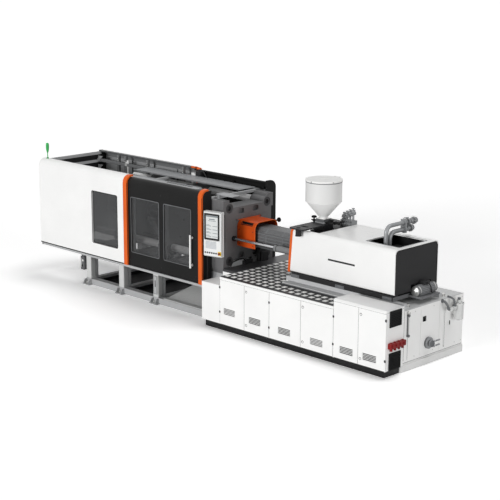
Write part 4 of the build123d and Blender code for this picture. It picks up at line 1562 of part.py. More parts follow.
# Nozzle guard: rounded hood with a slot grip, hinged on the platen at its upper left edge
GUARD_HOOD_REACH = (7.0, 415.0)   # ends of the nozzle guard past the platen's back face
GUARD_HOOD_X = (FIXED_BACK_X + GUARD_HOOD_REACH[0], FIXED_BACK_X + GUARD_HOOD_REACH[1])
GUARD_HOOD_WALL = 12.0
GUARD_HOOD_ROUND = 120.0
GRIP = (240.0, 28.0)      # length and height of the slot grip in the rounded edge
GRIP_FROM_EDGE = 90.0
GRIP_DOWN = 31.0          # slot below the guard's top
GRIP_CUT = 65.0           # depth of the cut through the rounded edge
KNUCKLE_WALL = 2.0
KNUCKLE_REACH = 10.0      # knuckles reach past the rounded edge
with BuildPart() as nozzle_guard:
    for inset, mode in ((0.0, Mode.ADD), (GUARD_HOOD_WALL, Mode.SUBTRACT)):
        half = NOZZLE_GUARD_Y - inset
        top = GUARD_HOOD_Z[1] - inset
        radius = GUARD_HOOD_ROUND - inset
        with BuildSketch(Plane.YZ.offset(GUARD_HOOD_X[0])) as outline:
            with BuildLine():
                Line((-half, GUARD_HOOD_Z[0]), (-half, top - radius))
                CenterArc((-half + radius, top - radius), radius, 90, 90)
                Line((-half + radius, top), (half - radius, top))
                CenterArc((half - radius, top - radius), radius, 0, 90)
                Line((half, top - radius), (half, GUARD_HOOD_Z[0]))
                Line((half, GUARD_HOOD_Z[0]), (-half, GUARD_HOOD_Z[0]))
            make_face()
        extrude(outline.sketch, amount=GUARD_HOOD_X[1] - GUARD_HOOD_X[0], mode=mode)
    grip_start = GUARD_HOOD_X[0] + GRIP_FROM_EDGE
    grip_x = (grip_start, grip_start + GRIP[0])
    grip_z = (GUARD_HOOD_Z[1] - GRIP_DOWN - GRIP[1], GUARD_HOOD_Z[1] - GRIP_DOWN)
    block(grip_x, (-NOZZLE_GUARD_Y, -NOZZLE_GUARD_Y + GRIP_CUT), grip_z, Mode.SUBTRACT)
    for side in (-1, 1):
        knuckle_in = NOZZLE_GUARD_Y - GUARD_HOOD_ROUND - KNUCKLE_REACH
        knuckle_y = (side * knuckle_in, side * NOZZLE_GUARD_Y)
        bar_y(HINGE_X, knuckle_y, HINGE_Z, HINGE_R + KNUCKLE_WALL)
        bar_y(HINGE_X, knuckle_y, HINGE_Z, HINGE_R + RUN, Mode.SUBTRACT)
keep(nozzle_guard, "nozzle_guard")
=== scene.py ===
# Injection moulding machine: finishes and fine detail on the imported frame
import json
from math import cos, pi, radians, sin, sqrt

import bmesh
import bpy
from mathutils import Matrix, Vector


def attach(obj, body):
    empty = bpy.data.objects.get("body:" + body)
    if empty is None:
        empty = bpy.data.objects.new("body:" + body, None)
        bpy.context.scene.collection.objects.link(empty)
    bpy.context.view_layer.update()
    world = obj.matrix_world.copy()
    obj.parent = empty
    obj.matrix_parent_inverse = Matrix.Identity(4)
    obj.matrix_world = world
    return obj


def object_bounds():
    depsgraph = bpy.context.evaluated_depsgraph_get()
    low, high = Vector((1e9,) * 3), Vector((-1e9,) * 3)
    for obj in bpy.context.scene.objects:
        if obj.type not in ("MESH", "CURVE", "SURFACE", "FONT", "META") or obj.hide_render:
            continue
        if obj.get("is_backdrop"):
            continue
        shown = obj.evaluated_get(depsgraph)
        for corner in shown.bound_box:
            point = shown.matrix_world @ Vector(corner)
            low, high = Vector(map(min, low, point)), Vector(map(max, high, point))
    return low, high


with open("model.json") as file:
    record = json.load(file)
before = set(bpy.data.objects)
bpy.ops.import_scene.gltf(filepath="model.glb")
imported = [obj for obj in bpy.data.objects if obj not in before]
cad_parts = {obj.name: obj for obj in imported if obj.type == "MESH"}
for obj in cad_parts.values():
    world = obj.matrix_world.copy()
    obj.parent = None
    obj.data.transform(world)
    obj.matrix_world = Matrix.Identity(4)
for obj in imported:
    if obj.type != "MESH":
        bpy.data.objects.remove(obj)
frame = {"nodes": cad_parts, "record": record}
scene = bpy.context.scene
NODES = frame["nodes"]
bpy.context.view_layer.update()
MM = 0.001


# Finishes
def linear(rgb):
    """Linear colour of a colour written in 0 to 255."""
    out = []
    for value in rgb:
        part = value / 255
        out.append(part / 12.92 if part <= 0.04045 else ((part + 0.055) / 1.055) ** 2.4)
    return (*out, 1.0)


class Finish:
    """A node material with broad colour drift, fine grain in the roughness and a slight relief."""

    def __init__(self, name, rgb, rough=0.4, metal=0.0, drift=0.05, broad=1.6, fine=220.0, relief=0.08,
                 coat=0.0, gloss=0.3):
        self.material = bpy.data.materials.new(name)
        self.material.use_nodes = True
        self.tree = self.material.node_tree
        self.tree.nodes.clear()
        self.out = self.node("ShaderNodeOutputMaterial")
        self.shader = self.node("ShaderNodeBsdfPrincipled", Metallic=metal, Coat_Weight=coat,
                                Specular_IOR_Level=gloss, Coat_Roughness=0.12)
        self.link(self.shader.outputs[0], self.out.inputs[0])
        self.place = self.node("ShaderNodeTexCoord").outputs["Object"]
        wide = self.noise(broad, 3.0)
        self.colour = self.ramp(wide, [(0.3, [v * (1 - drift) for v in rgb]),
                                       (0.7, [min(255, v * (1 + drift * 0.6)) for v in rgb])])
        self.link(self.colour, self.shader.inputs["Base Color"])
        grain = self.noise(fine, 2.0)
        self.link(self.spread(grain, rough * 0.85, rough * 1.15), self.shader.inputs["Roughness"])
        self.bump = self.node("ShaderNodeBump", Strength=relief, Distance=0.001)
        self.link(grain, self.bump.inputs["Height"])
        self.link(self.bump.outputs[0], self.shader.inputs["Normal"])

    def node(self, kind, **values):
        """A node, with the values of inputs by name and _ for a space."""
        node = self.tree.nodes.new(kind)
        for name, value in values.items():
            node.inputs[name.replace("_", " ")].default_value = value
        return node

    def link(self, start, end):
        self.tree.links.new(start, end)

    def noise(self, scale, detail):
        noise = self.node("ShaderNodeTexNoise", Scale=scale, Detail=detail)
        self.link(self.place, noise.inputs["Vector"])
        return noise.outputs["Fac"]

    def ramp(self, source, stops):
        ramp = self.node("ShaderNodeValToRGB")
        for index, (place, rgb) in enumerate(stops):
            while len(ramp.color_ramp.elements) <= index:
                ramp.color_ramp.elements.new(1.0)
            ramp.color_ramp.elements[index].position = place
            ramp.color_ramp.elements[index].color = linear(rgb)
        self.link(source, ramp.inputs[0])
        return ramp.outputs[0]

    def spread(self, source, low, high):
        change = self.node("ShaderNodeMapRange", From_Min=0.3, From_Max=0.7, To_Min=low, To_Max=high)
        self.link(source, change.inputs["Value"])
        return change.outputs[0]

    def mix(self, factor, first, second):
        mix = self.node("ShaderNodeMix")
        mix.data_type = "RGBA"
        self.link(factor, mix.inputs[0])
        self.link(first, mix.inputs[6])
        if isinstance(second, tuple):
            mix.inputs[7].default_value = linear(second)
        else:
            self.link(second, mix.inputs[7])
        self.link(mix.outputs[2], self.shader.inputs["Base Color"])
        self.colour = mix.outputs[2]
        return self

    def math(self, kind, first, second):
        node = self.node("ShaderNodeMath")
        node.operation = kind
        for index, value in enumerate((first, second)):
            if isinstance(value, (int, float)):
                node.inputs[index].default_value = value
            else:
                self.link(value, node.inputs[index])
        return node.outputs[0]

    def axis(self, name):
        split = self.node("ShaderNodeSeparateXYZ")
        self.link(self.place, split.inputs[0])
        return split.outputs[name]

    def worn(self, rgb, amount=0.35, scale=24.0):
        """Small rubbed and dusty patches."""
        patches = self.noise(scale, 6.0)
        cut = self.node("ShaderNodeMapRange", From_Min=0.56, From_Max=0.72, To_Max=amount)
        self.link(patches, cut.inputs["Value"])
        return self.mix(cut.outputs[0], self.colour, rgb)

    def brushed(self, axis):
        """Fine lines along one axis."""
        scale = [600.0, 600.0, 600.0]
        scale[axis] = 6.0
        stretch = self.node("ShaderNodeMapping", Scale=scale)
        self.link(self.place, stretch.inputs["Vector"])
        lines = self.node("ShaderNodeTexNoise", Scale=1.0, Detail=2.0)
        self.link(stretch.outputs[0], lines.inputs["Vector"])
        self.link(lines.outputs["Fac"], self.bump.inputs["Height"])
        return self


def zone(name, tests, rgb):
    """Another colour where every test on a coordinate, in metres, or on another measure holds."""
    finish = FINISHES[name]
    inside = 1.0
    for test in tests:
        source, sign, value = test.split() if isinstance(test, str) else test
        measure = finish.axis(source) if isinstance(source, str) else source
        kind = {"<": "LESS_THAN", ">": "GREATER_THAN"}[sign]
        inside = finish.math("MULTIPLY", finish.math(kind, measure, float(value)), inside)
    return finish.mix(inside, finish.colour, rgb)


def holes_finish(finish, pitch, size, dark):
    """Rows of small dark round perforations, staggered, on every face that isn't seen edge on."""
    x, y, z = (finish.axis(name) for name in "XYZ")
    across = finish.math("ADD", y, z)
    row = finish.math("DIVIDE", across, pitch)
    shift = finish.math("MULTIPLY", finish.math("MODULO", finish.math("FLOOR", row, 0), 2.0), 0.5)
    column = finish.math("ADD", finish.math("DIVIDE", x, pitch), shift)
    u = finish.math("SUBTRACT", finish.math("FRACT", row, 0), 0.5)
    v = finish.math("SUBTRACT", finish.math("FRACT", column, 0), 0.5)
    far = finish.math("SQRT", finish.math("ADD", finish.math("MULTIPLY", u, u),
                                          finish.math("MULTIPLY", v, v)), 0)
    hole = finish.math("LESS_THAN", far, size)
    return finish.mix(hole, finish.colour, dark)


FINISHES = {}


def paint(name, *look, **more):
    FINISHES[name] = Finish(name, *look, **more)
    return FINISHES[name]


for name in ("guard_white", "cover_paint"):
    paint(name, (243, 243, 242), 0.3, drift=0.012, coat=0.1, relief=0.05)
paint("trim_orange", (222, 96, 28), 0.34, drift=0.05, gloss=0.2)
paint("guard_orange", (194, 74, 18), 0.36, drift=0.06, gloss=0.15)
paint("door_black", (33, 33, 33), 0.45, drift=0.08, gloss=0.08)
for name in ("rail_dark", "carriage_paint"):
    paint(name, (44, 45, 46), 0.5, drift=0.1, gloss=0.15).worn((80, 80, 78))
paint("platen_grey", (106, 106, 107), 0.48, drift=0.05, fine=90).worn((128, 127, 124), 0.3)
for name in ("bar_steel", "rod_steel"):
    paint(name, (205, 206, 208), 0.2, metal=1.0, drift=0.03).brushed(0)
paint("link_grey", (104, 106, 109), 0.5, drift=0.06).worn((140, 138, 132), 0.4)
paint("bright_sheet", (150, 152, 154), 0.4, drift=0.04).worn((170, 170, 168), 0.4)
paint("lamp_green", (58, 178, 92), 0.25, drift=0.08, coat=0.3)
paint("tray_dark", (24, 24, 26), 0.6, drift=0.15, gloss=0.15).worn((56, 52, 48), 0.4)
paint("chute_light", (206, 207, 206), 0.45, drift=0.03).worn((182, 180, 174), 0.4)
for name in ("cabinet_white", "cabinet_plinth", "bed_white", "raised_white"):
    paint(name, (243, 243, 242), 0.36, drift=0.012, relief=0.12, fine=420)
paint("plate_tread", (34, 34, 35), 0.46, drift=0.12).worn((74, 74, 73), 0.5)
paint("grille_black", (20, 20, 21), 0.55, drift=0.1, gloss=0.12)
paint("manifold_red", (128, 16, 16), 0.38, drift=0.08).worn((104, 22, 22), 0.4)
paint("filter_light", (216, 217, 216), 0.42, drift=0.03).worn((186, 184, 178), 0.3)
paint("panel_white", (230, 231, 230), 0.35, drift=0.015)
paint("stop_red", (120, 22, 18), 0.3, drift=0.05, coat=0.2)
paint("cover_dark", (46, 46, 47), 0.45, drift=0.06, gloss=0.12)
paint("barrel_steel", (128, 124, 118), 0.36, metal=0.9, drift=0.1).brushed(1)
paint("mesh_grey", (122, 123, 124), 0.45, metal=0.35, drift=0.05)
paint("slide_black", (40, 40, 42), 0.42, drift=0.08, gloss=0.15).worn((70, 70, 70), 0.4)
paint("hopper_white", (240, 240, 238), 0.34, drift=0.012)
paint("pipe_grey", (148, 150, 152), 0.38, metal=0.25, drift=0.05).worn((170, 170, 168), 0.3)
for name in ("frame_grey", "clamp_frame", "frame_ends"):
    paint(name, (176, 177, 178), 0.44, drift=0.04).worn((190, 189, 185), 0.35)
paint("rubber", (22, 22, 23), 0.7, drift=0.1, gloss=0.12)
paint("gasket_grey", (120, 122, 124), 0.55, drift=0.05)
paint("bolt_dark", (50, 50, 52), 0.4, metal=0.6, drift=0.1)
paint("bright_bolt", (190, 190, 188), 0.3, metal=0.9, drift=0.06)
paint("handle_white", (240, 240, 239), 0.3, drift=0.01, coat=0.2)
paint("worn_bar", (243, 243, 241), 0.34, drift=0.05).worn((180, 178, 172), 0.3)
paint("yellow_plate", (226, 186, 52), 0.4, drift=0.04)
paint("screen_pale", (216, 219, 218), 0.22, drift=0.02)
paint("screen_ink", (128, 136, 140), 0.25, drift=0.05)
paint("key_grey", (190, 194, 198), 0.45, drift=0.02)
paint("hose_black", (24, 24, 25), 0.5, drift=0.1, gloss=0.15)
# Painted shade: a grey for the tank's top lid
paint("tank_top", (206, 207, 207), 0.3, drift=0.03).worn((180, 180, 176), 0.35)
paint("seam_dark", (66, 66, 67), 0.6, drift=0.08, gloss=0.1)
# Painted shade of louvre slots, laid on the louvre blades: dark, and a paler grey
paint("louvre_dark_painted_shade", (26, 26, 27), 0.6, drift=0.1, gloss=0.1)
paint("louvre_pale_painted_shade", (142, 142, 142), 0.6, drift=0.05, gloss=0.1)
paint("unit_grey", (92, 93, 95), 0.5, drift=0.08).worn((120, 120, 118), 0.3)
paint("rear_white_painted_inner_shade", (243, 243, 242), 0.3, drift=0.012, relief=0.05)
# Painted highlight: the tie bars near white and barely metallic, so that they read bright
paint("tie_bars_painted_highlight", (240, 240, 240), 0.3, metal=0.15, drift=0.03).brushed(0)
# Painted shade: the hopper's body a greyer copy of hopper_white
paint("hopper_painted_light_and_shade", (222, 222, 221), 0.34, drift=0.012)
zone("cabinet_plinth", ["Z < 0.1305"], (26, 26, 27))
# Painted shade on the injection bed: its top faces grey, a slightly grey strip along the bottom by the
# floor, and the upper part of its left end, by the platen, dark grey
zone("bed_white", ["Z > 0.93"], (192, 193, 194))
zone("bed_white", ["Z < 0.125"], (226, 226, 225))
zone("bed_white", ["Z > 0.86", "X < 2.904"], (60, 60, 62))
# Painted shade: the raised cabinet's top face a little greyer than its sides
zone("raised_white", ["Z > 1.0385"], (228, 228, 228))
# Painted shade on the rear guard's inner face: grey, lighter low down, darkest on the inner top rail
zone("rear_white_painted_inner_shade", ["Z < 2.19", "Y < 0.805"], (128, 129, 130))
zone("rear_white_painted_inner_shade", ["Z < 2.068", "Y < 0.805"], (168, 169, 170))
zone("rear_white_painted_inner_shade", ["Z > 2.06", "Y < 0.70"], (84, 85, 86))
# Painted light: the front of the clamp bed's legs, between 0.12 m and 0.6 m up, lighter than the rest of the
# frame
zone("clamp_frame", ["Z > 0.12", "Z < 0.6", "Y < -0.58"], (206, 207, 206))
# Painted shade: the inside of the guard's left end black; outside it the end keeps its white, with dark
# seams and slats
zone("frame_ends", ["X < -2.185"], (28, 28, 29))
ends = FINISHES["frame_ends"]
outside = "X < -2.2145"
across = ends.math("ABSOLUTE", ends.axis("Y"), 0)
zone("frame_ends", [outside], (236, 236, 235))
for edge in (0.0, 0.76):
    zone("frame_ends", [outside, (across, ">", edge - 0.003), (across, "<", edge + 0.003)], (70, 70, 71))
slats = ends.math("FRACT", ends.math("DIVIDE", ends.axis("Z"), 0.034), 0)
zone("frame_ends", [outside, (slats, "<", 0.45), "Z > 1.394", "Z < 1.734",
                    (across, ">", 0.2), (across, "<", 0.56)], (58, 58, 59))
# Painted shade: the rear part of the guard frame grey, the two rear posts kept light
zone("frame_ends", ["X > -2.1", "Y > 0.5"], (124, 125, 126))
for at in (-1.318, 0.488):
    zone("frame_ends", [("X", ">", at - 0.03), ("X", "<", at + 0.03), "Z > 1.6"], (190, 191, 190))
# Painted light: the cone below the body as white as hopper_white; the neck below it dark grey
zone("hopper_painted_light_and_shade", ["Z < 2.196"], (243, 243, 242))
zone("hopper_painted_light_and_shade", ["Z < 1.918"], (92, 93, 95))
zone("rod_steel", ["X < 2.546"], (48, 58, 60))
# Painted shade: the injection cover's inner faces dark
zone("cover_paint", ["Z < 1.735", "Y < 0.509", "Y > -0.509"], (44, 44, 45))
zone("cover_paint", ["Z < 1.7868", "Y < 0.456", "Y > -0.456"], (44, 44, 45))
# The tie bars dark grey past x 2.38
zone("tie_bars_painted_highlight", ["X > 2.38"], (70, 70, 71))
zone("carriage_paint", ["X > 5.984"], (112, 113, 115))
zone("carriage_paint", ["X < 3.93", "Z < 1.425", "Z > 1.3"], (128, 129, 130))
holes_finish(FINISHES["mesh_grey"], 0.012, 0.3, (34, 35, 37))


def pane(name, rgb, alpha):
    """Tinted plastic sheet: see-through, with a smoke tint and a soft gloss."""
    sheet = paint(name, rgb, 0.16, drift=0.06, relief=0.01, gloss=0.2)
    sheet.shader.inputs["Alpha"].default_value = alpha


pane("pane_tint", (84, 85, 86), 0.36)
pane("window_tint", (82, 83, 84), 0.74)

# Finish of each CAD node: its slot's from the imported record, or a finish with zones of its own
NODE_FINISH = {part["node"]: part["material_slot"] for part in frame["record"]["subparts"]}
NODE_FINISH.update({
    "clamp_bed": "clamp_frame", "nozzle_guard": "guard_orange", "cabinet_carcass": "cabinet_plinth",
    "injection_bed": "bed_white", "raised_cabinet": "raised_white", "rear_guard": "rear_white_painted_inner_shade",
    "guard_frame": "frame_ends", "tie_bars": "tie_bars_painted_highlight", "lubrication_unit": "unit_grey",
    "injection_carriage": "carriage_paint", "door_handle": "handle_white", "hopper": "hopper_painted_light_and_shade",
    "guard_window": "window_tint", "tank_fittings": "link_grey", "carriage_rods": "rod_steel",
    "injection_cover": "cover_paint",
})
for name, node in NODES.items():
    material = FINISHES[NODE_FINISH[name]].material
    if not node.material_slots:
        node.data.materials.append(material)
    for place in node.material_slots:
        place.link = "OBJECT"
        place.material = material


# Pieces
PIECES = []


class Piece:
    """A mesh in millimetres of the row frame, built up from bevelled plates, turned shapes and tubes."""

    def __init__(self, name, body, slot, finish=None, place=None):
        self.name = name
        self.body = body
        self.slot = slot
        self.finish = finish or slot
        self.place = place or Matrix.Identity(4)
        self.mesh = bmesh.new()
        PIECES.append(self)

    def vert(self, point):
        return self.mesh.verts.new(self.place @ (Vector(point) * MM))

    def faces(self, rings, closed=True, caps=True):
        """Skin between rings of points of equal length."""
        rows = [[self.vert(point) for point in ring] for ring in rings]
        count = len(rows[0])
        for low, high in zip(rows[:-1], rows[1:]):
            for index in range(count if closed else count - 1):
                after = (index + 1) % count
                self.mesh.faces.new((low[index], low[after], high[after], high[index]))
        if caps:
            self.mesh.faces.new(list(reversed(rows[0])))
            self.mesh.faces.new(rows[-1])
        return self

    def prism(self, x0, x1, profile):
        """A prism along X: profile is its outline in Y and Z."""
        return self.faces([[(x, y, z) for y, z in profile] for x in (x0, x1)])

    def box(self, x, y, z, chamfer=None):
        """A plate with broken edges."""
        x, y, z = sorted(x), sorted(y), sorted(z)
        spans = (x[1] - x[0], y[1] - y[0], z[1] - z[0])
        edge = min(2.0 if chamfer is None else chamfer, min(spans) * 0.3)
        rings = []
        for level, inset in ((z[0], edge), (z[0] + edge, 0), (z[1] - edge, 0), (z[1], edge)):
            rings.append([(x[0] + inset, y[0] + edge, level), (x[0] + edge, y[0] + inset, level),
                          (x[1] - edge, y[0] + inset, level), (x[1] - inset, y[0] + edge, level),
                          (x[1] - inset, y[1] - edge, level), (x[1] - edge, y[1] - inset, level),
                          (x[0] + edge, y[1] - inset, level), (x[0] + inset, y[1] - edge, level)])
        return self.faces(rings)

    def turned(self, start, direction, profile, sides=20, lead=0.0):
        """A solid of revolution: profile is a list of distance along and radius."""
        direction = Vector(direction).normalized()
        side = direction.orthogonal().normalized()
        if abs(direction.z) < 0.9:
            side = Vector((0, 0, 1)).cross(direction).normalized()
        up = direction.cross(side)
        rings = []
        for along, radius in profile:
            centre = Vector(start) + direction * along
            turn = [2 * pi * (index + lead) / sides for index in range(sides)]
            rings.append([centre + (side * cos(a) + up * sin(a)) * max(radius, 0.05) for a in turn])
        return self.faces(rings)

    def rod(self, start, end, radius, sides=16, edge=1.5):
        span = Vector(end) - Vector(start)
        edge = min(edge, radius * 0.4, span.length * 0.3)
        profile = [(0, radius - edge), (edge, radius), (span.length - edge, radius),
                   (span.length, radius - edge)]
        return self.turned(start, span, profile, sides)

    def hexagon(self, start, direction, radius, height):
        profile = [(0, radius), (height * 0.8, radius), (height, radius * 0.86)]
        return self.turned(start, direction, profile, 6)

    def bolt(self, start, direction, radius=9.0, height=8.0):
        """Washer and hexagon head."""
        self.turned(start, direction, [(0, radius * 1.5), (1.6, radius * 1.5), (2.0, radius * 1.42)], 14)
        return self.hexagon(Vector(start) + Vector(direction).normalized() * 2.0, direction, radius, height)

    def tube(self, points, radius, sides=12, steps=8):
        """A round tube along a smooth line through the points."""
        path = smooth_line(points, steps)
        rings = []
        side = None
        for index, point in enumerate(path):
            ahead = path[min(index + 1, len(path) - 1)] - path[max(index - 1, 0)]
            ahead.normalize()
            side = ahead.orthogonal() if side is None else side - ahead * side.dot(ahead)
            side.normalize()
            up = ahead.cross(side)
            rings.append([point + (side * cos(a) + up * sin(a)) * radius
                          for a in (2 * pi * k / sides for k in range(sides))])
        return self.faces(rings)

    def ring(self, outline, width, depth, normal_axis=1, raise_by=2.0):
        """A flat frame round a closed outline: the outline is the outer edge."""
        centre = sum((Vector(point) for point in outline), Vector()) / len(outline)
        inner = inset_loop([Vector(point) for point in outline], centre, width)
        push = Vector((0, 0, 0))
        push[normal_axis] = depth
        soft = push * 0.7
        outer_low = [Vector(point) for point in outline]
        rings = [outer_low, [p + soft for p in outer_low],
                 [p + push for p in inset_loop(outer_low, centre, min(raise_by, width * 0.3))],
                 [p + push for p in inset_loop(outer_low, centre, width - min(raise_by, width * 0.3))],
                 [p + soft for p in inner], inner]
        return self.faces(rings, caps=False)

    def done(self, smooth=40.0):
        """Turns what was built into an object on its body."""
        data = bpy.data.meshes.new(self.name)
        bmesh.ops.recalc_face_normals(self.mesh, faces=self.mesh.faces)
        self.mesh.to_mesh(data)
        self.mesh.free()
        for polygon in data.polygons:
            polygon.use_smooth = True
        data.set_sharp_from_angle(angle=radians(smooth))
        thing = bpy.data.objects.new(self.name, data)
        scene.collection.objects.link(thing)
        data.materials.append(FINISHES[self.finish].material)
        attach(thing, self.body)
        return thing


def smooth_line(points, steps):
    """Points on a Catmull-Rom line through the given ones."""
    line = [Vector(point) for point in points]
    if len(line) == 2:
        return line
    ends = [2 * line[0] - line[1], *line, 2 * line[-1] - line[-2]]
    path = []
    for index in range(1, len(ends) - 2):
        a, b, c, d = ends[index - 1:index + 3]
        for step in range(steps):
            t = step / steps
            path.append(0.5 * ((2 * b) + (c - a) * t + (2 * a - 5 * b + 4 * c - d) * t * t
                               + (3 * b - a - 3 * c + d) * t ** 3))
    path.append(line[-1])
    return path


def inset_loop(loop, centre, distance):
    """The closed loop moved inwards by a distance, square to its edges."""
    moved = []
    count = len(loop)
    for index, point in enumerate(loop):
        before = (point - loop[index - 1]).normalized()
        after = (loop[(index + 1) % count] - point).normalized()
        corner = (before - after)
        if corner.length < 1e-4:
            plane = (loop[0] - loop[1]).cross(loop[count // 3] - centre).normalized()
            corner = plane.cross(before)
        corner.normalize()
        if corner.dot(centre - point) < 0:
            corner = -corner
        edge = sqrt(max(1e-6, 1 - corner.dot(before) ** 2))
        moved.append(point + corner * (distance / max(edge, 0.35)))
    return moved


def rounded(a, b, radius, at, plane="xz", steps=5):
    """Closed rounded rectangle: a and b are the spans on the two axes of the plane, at is the third."""
    points = []
    corners = ((a[1] - radius, b[1] - radius, 0), (a[0] + radius, b[1] - radius, 90),
               (a[0] + radius, b[0] + radius, 180), (a[1] - radius, b[0] + radius, 270))
    for centre_a, centre_b, start in corners:
        for step in range(steps + 1):
            turn = radians(start + 90 * step / steps)
            one = centre_a + radius * cos(turn)
            two = centre_b + radius * sin(turn)
            points.append({"xz": (one, at, two), "yz": (at, one, two), "xy": (one, two, at)}[plane])
    return points


# Directions in the row frame
UP, DOWN = (0, 0, 1), (0, 0, -1)
FRONT, REAR = (0, -1, 0), (0, 1, 0)
RIGHT = (1, 0, 0)

# Places that several pieces share
HOPPER_X = 4175
PIPE_X = 5585
FILTER_X = 6385

# Front guard: window gasket and sill strips, of the door too
GUARD_Y = -817.0
DOOR_Y = -779.0
part = Piece("front_window_gasket", "machine", "rail_dark", "rubber")
part.ring(rounded((-655, 67), (849, 1811), 34, GUARD_Y), 12, -3.0)
part = Piece("guard_sills", "machine", "rail_dark", "rubber")
part.box((-2212, 224), (GUARD_Y - 1.5, GUARD_Y + 6), (600.5, 622))
part.box((-2215, -2209), (GUARD_Y + 6, 811), (600.5, 622))
part.box((-2212, -1010), (811, 818.5), (600.5, 622))
part = Piece("door_sill", "safety_door", "rail_dark", "rubber")
part.box((330, 2133), (DOOR_Y - 1.5, DOOR_Y + 5), (600.5, 620))

# Safety door: gaskets, rows of screws beside the panes, handle ends
part = Piece("door_window_gaskets", "safety_door", "rail_dark", "gasket_grey")
for span in ((390, 1120), (1245, 1925)):
    part.ring(rounded((span[0] - 5, span[1] + 5), (845, 1835), 33, DOOR_Y), 9, -2.5)
part = Piece("door_screws", "safety_door", "rail_dark", "bolt_dark")
for x in (360, 1182, 2040):
    for z in (700, 1340, 1960):
        part.turned((x, DOOR_Y, z), FRONT, [(0, 9), (2.5, 8.5), (3.5, 6)], 14)
part = Piece("handle_mounts", "safety_door", "panel_white", "handle_white")
for z in (894, 1362):
    part.turned((1961, DOOR_Y, z), FRONT, [(0, 19), (4, 19), (6, 16), (16, 13)], 24)

# Orange trims: a dark seam on each side of the bands
part = Piece("trim_seams", "machine", "rail_dark", "rubber")
for x in (225, 322.5, 2140.5, 2231):
    part.box((x - 2, x + 2), (GUARD_Y - 0.5, GUARD_Y + 10), (604, 2066))

# Rear guard: joints and post covers inside, seams, screws and louvres outside, door pull, switch boxes
part = Piece("rear_guard_joints", "machine", "rail_dark", "seam_dark")
for x in (-1402, -769, -120):
    part.box((x - 10, x + 10), (782, 790), (680, 2060))
part = Piece("rear_post_covers", "machine", "frame_grey", "handle_white")
for x in (-1318, 488):
    part.box((x - 26, x + 26), (591, 598), (1640, 2100), 2)
for x0, x1, z in ((-1382, -1343, 1700), (-1382, -1343, 2030), (513, 563, 2055)):
    part.box((x0, x1), (593, 602), (z, z + 35), 1)
part = Piece("rear_seams", "machine", "rail_dark", "seam_dark")
for x in (-1815, -1408, -1000):
    part.box((x - 3, x + 3), (816, 818.4), (640, 2070))
part.box((-2205, -600), (816, 818.4), (1226, 1232))
part = Piece("rear_guard_screws", "machine", "guard_white", "bright_bolt")
for x in (-2170, -1850, -1780, -1443, -1373, -1035, -965):
    for z in (700, 1180, 1280, 1980):
        part.turned((x, 817, z), REAR, [(0, 8), (1.5, 8), (2.5, 5)], 12)
part = Piece("rear_guard_louvres", "machine", "rail_dark", "cover_dark")
for x in (-1610, -1200):
    for row in range(9):
        z = 760 + row * 36
        part.prism(x - 130, x + 130, [(816.5, z), (820.5, z + 3), (817, z + 22)])
part = Piece("rear_door_pull", "rear_door", "rail_dark", "handle_white")
part.tube([(2200, 779, 900), (2200, 808, 912), (2200, 812, 960), (2200, 812, 1300), (2200, 808, 1348),
           (2200, 779, 1360)], 11, 12)
for z in (900, 1360):
    part.turned((2200, 779, z), REAR, [(0, 24), (4, 24), (6, 18)], 20)
part = Piece("far_side_knob", "nozzle_guard", "rail_dark", "rubber")
part.rod((2880, 232, 1640), (2880, 330, 1640), 13)
part.turned((2880, 330, 1640), REAR, [(0, 28), (6, 42), (26, 42), (32, 30)], 8)
part.turned((2880, 362, 1640), REAR, [(0, 16), (10, 16), (14, 10)], 12)
part = Piece("switch_boxes", "machine", "rail_dark", "cover_dark")
part.box((560, 690), (600, 690), (2040, 2140), 6)
part.box((2020, 2120), (-640, -560), (2122, 2160), 5)
part.tube([(625, 640, 2140), (640, 620, 2165), (760, 600, 2150), (860, 585, 2070)], 9, 10)
part = Piece("rear_trim_hinge", "machine", "trim_orange")
part.turned((520, 700, 2150), RIGHT, [(0, 30), (6, 40), (64, 40), (70, 30)], 24)

# Guard frame: gussets of the end rails, and bolts
part = Piece("frame_gussets", "machine", "rail_dark", "frame_grey")
for y in (-640, 560):
    for z in (1930, 2098):
        part.faces([[(-2165, at, z), (-2030, at, z), (-2165, at, z - 120)] for at in (y, y + 8)])
part = Piece("frame_bolts", "machine", "rail_dark", "bright_bolt")
for x in (-1600, -1400, -760, 230):
    part.bolt((x, 590, 2066), FRONT, 8, 7)
    part.bolt((x, 590, 2106), FRONT, 8, 7)

# Signal lamp: collar and foot
part = Piece("lamp_collar", "machine", "rail_dark", "bolt_dark")
part.turned((-2097, -687, 2309), UP, [(0, 12), (2, 17), (12, 17), (15, 14)], 20)
part.turned((-2097, -687, 2209), UP, [(0, 25), (3, 22), (7, 13)], 20)

# Clamp bed: anchor bolts, slotted plate on the right column, fittings of the lubrication unit
part = Piece("anchor_bolts", "machine", "frame_grey", "bright_bolt")
for x in (-930, 0, 930):
    for side in (-1, 1):
        part.turned((x, side * 744, 30), UP, [(0, 30), (5, 30), (6, 28)], 18)
        part.hexagon((x, side * 744, 35), UP, 21, 16)
        part.rod((x, side * 744, 50), (x, side * 744, 78), 11)
part = Piece("slotted_plate", "machine", "frame_grey")
part.box((882, 978), (-712, -701), (170, 500), 3)
part = Piece("slotted_plate_slot", "machine", "grille_black")
part.ring(rounded((886, 974), (174, 496), 10, -712), 5, -1.5)
part.box((920, 940), (-714, -711), (300, 420))
part = Piece("lubrication_fittings", "machine", "tray_dark", "hose_black")
part.turned((-1075, -690, 560), UP, [(0, 24), (6, 26), (30, 26), (34, 18)], 20)
part.tube([(-1045, -690, 540), (-1040, -688, 590), (-1000, -672, 618), (-930, -660, 622)], 7, 10)
part.tube([(-1100, -700, 540), (-1104, -690, 600), (-1060, -660, 630)], 7, 10)
part.turned((-1075, -739, 330), FRONT, [(0, 22), (3, 22), (5, 17)], 20)
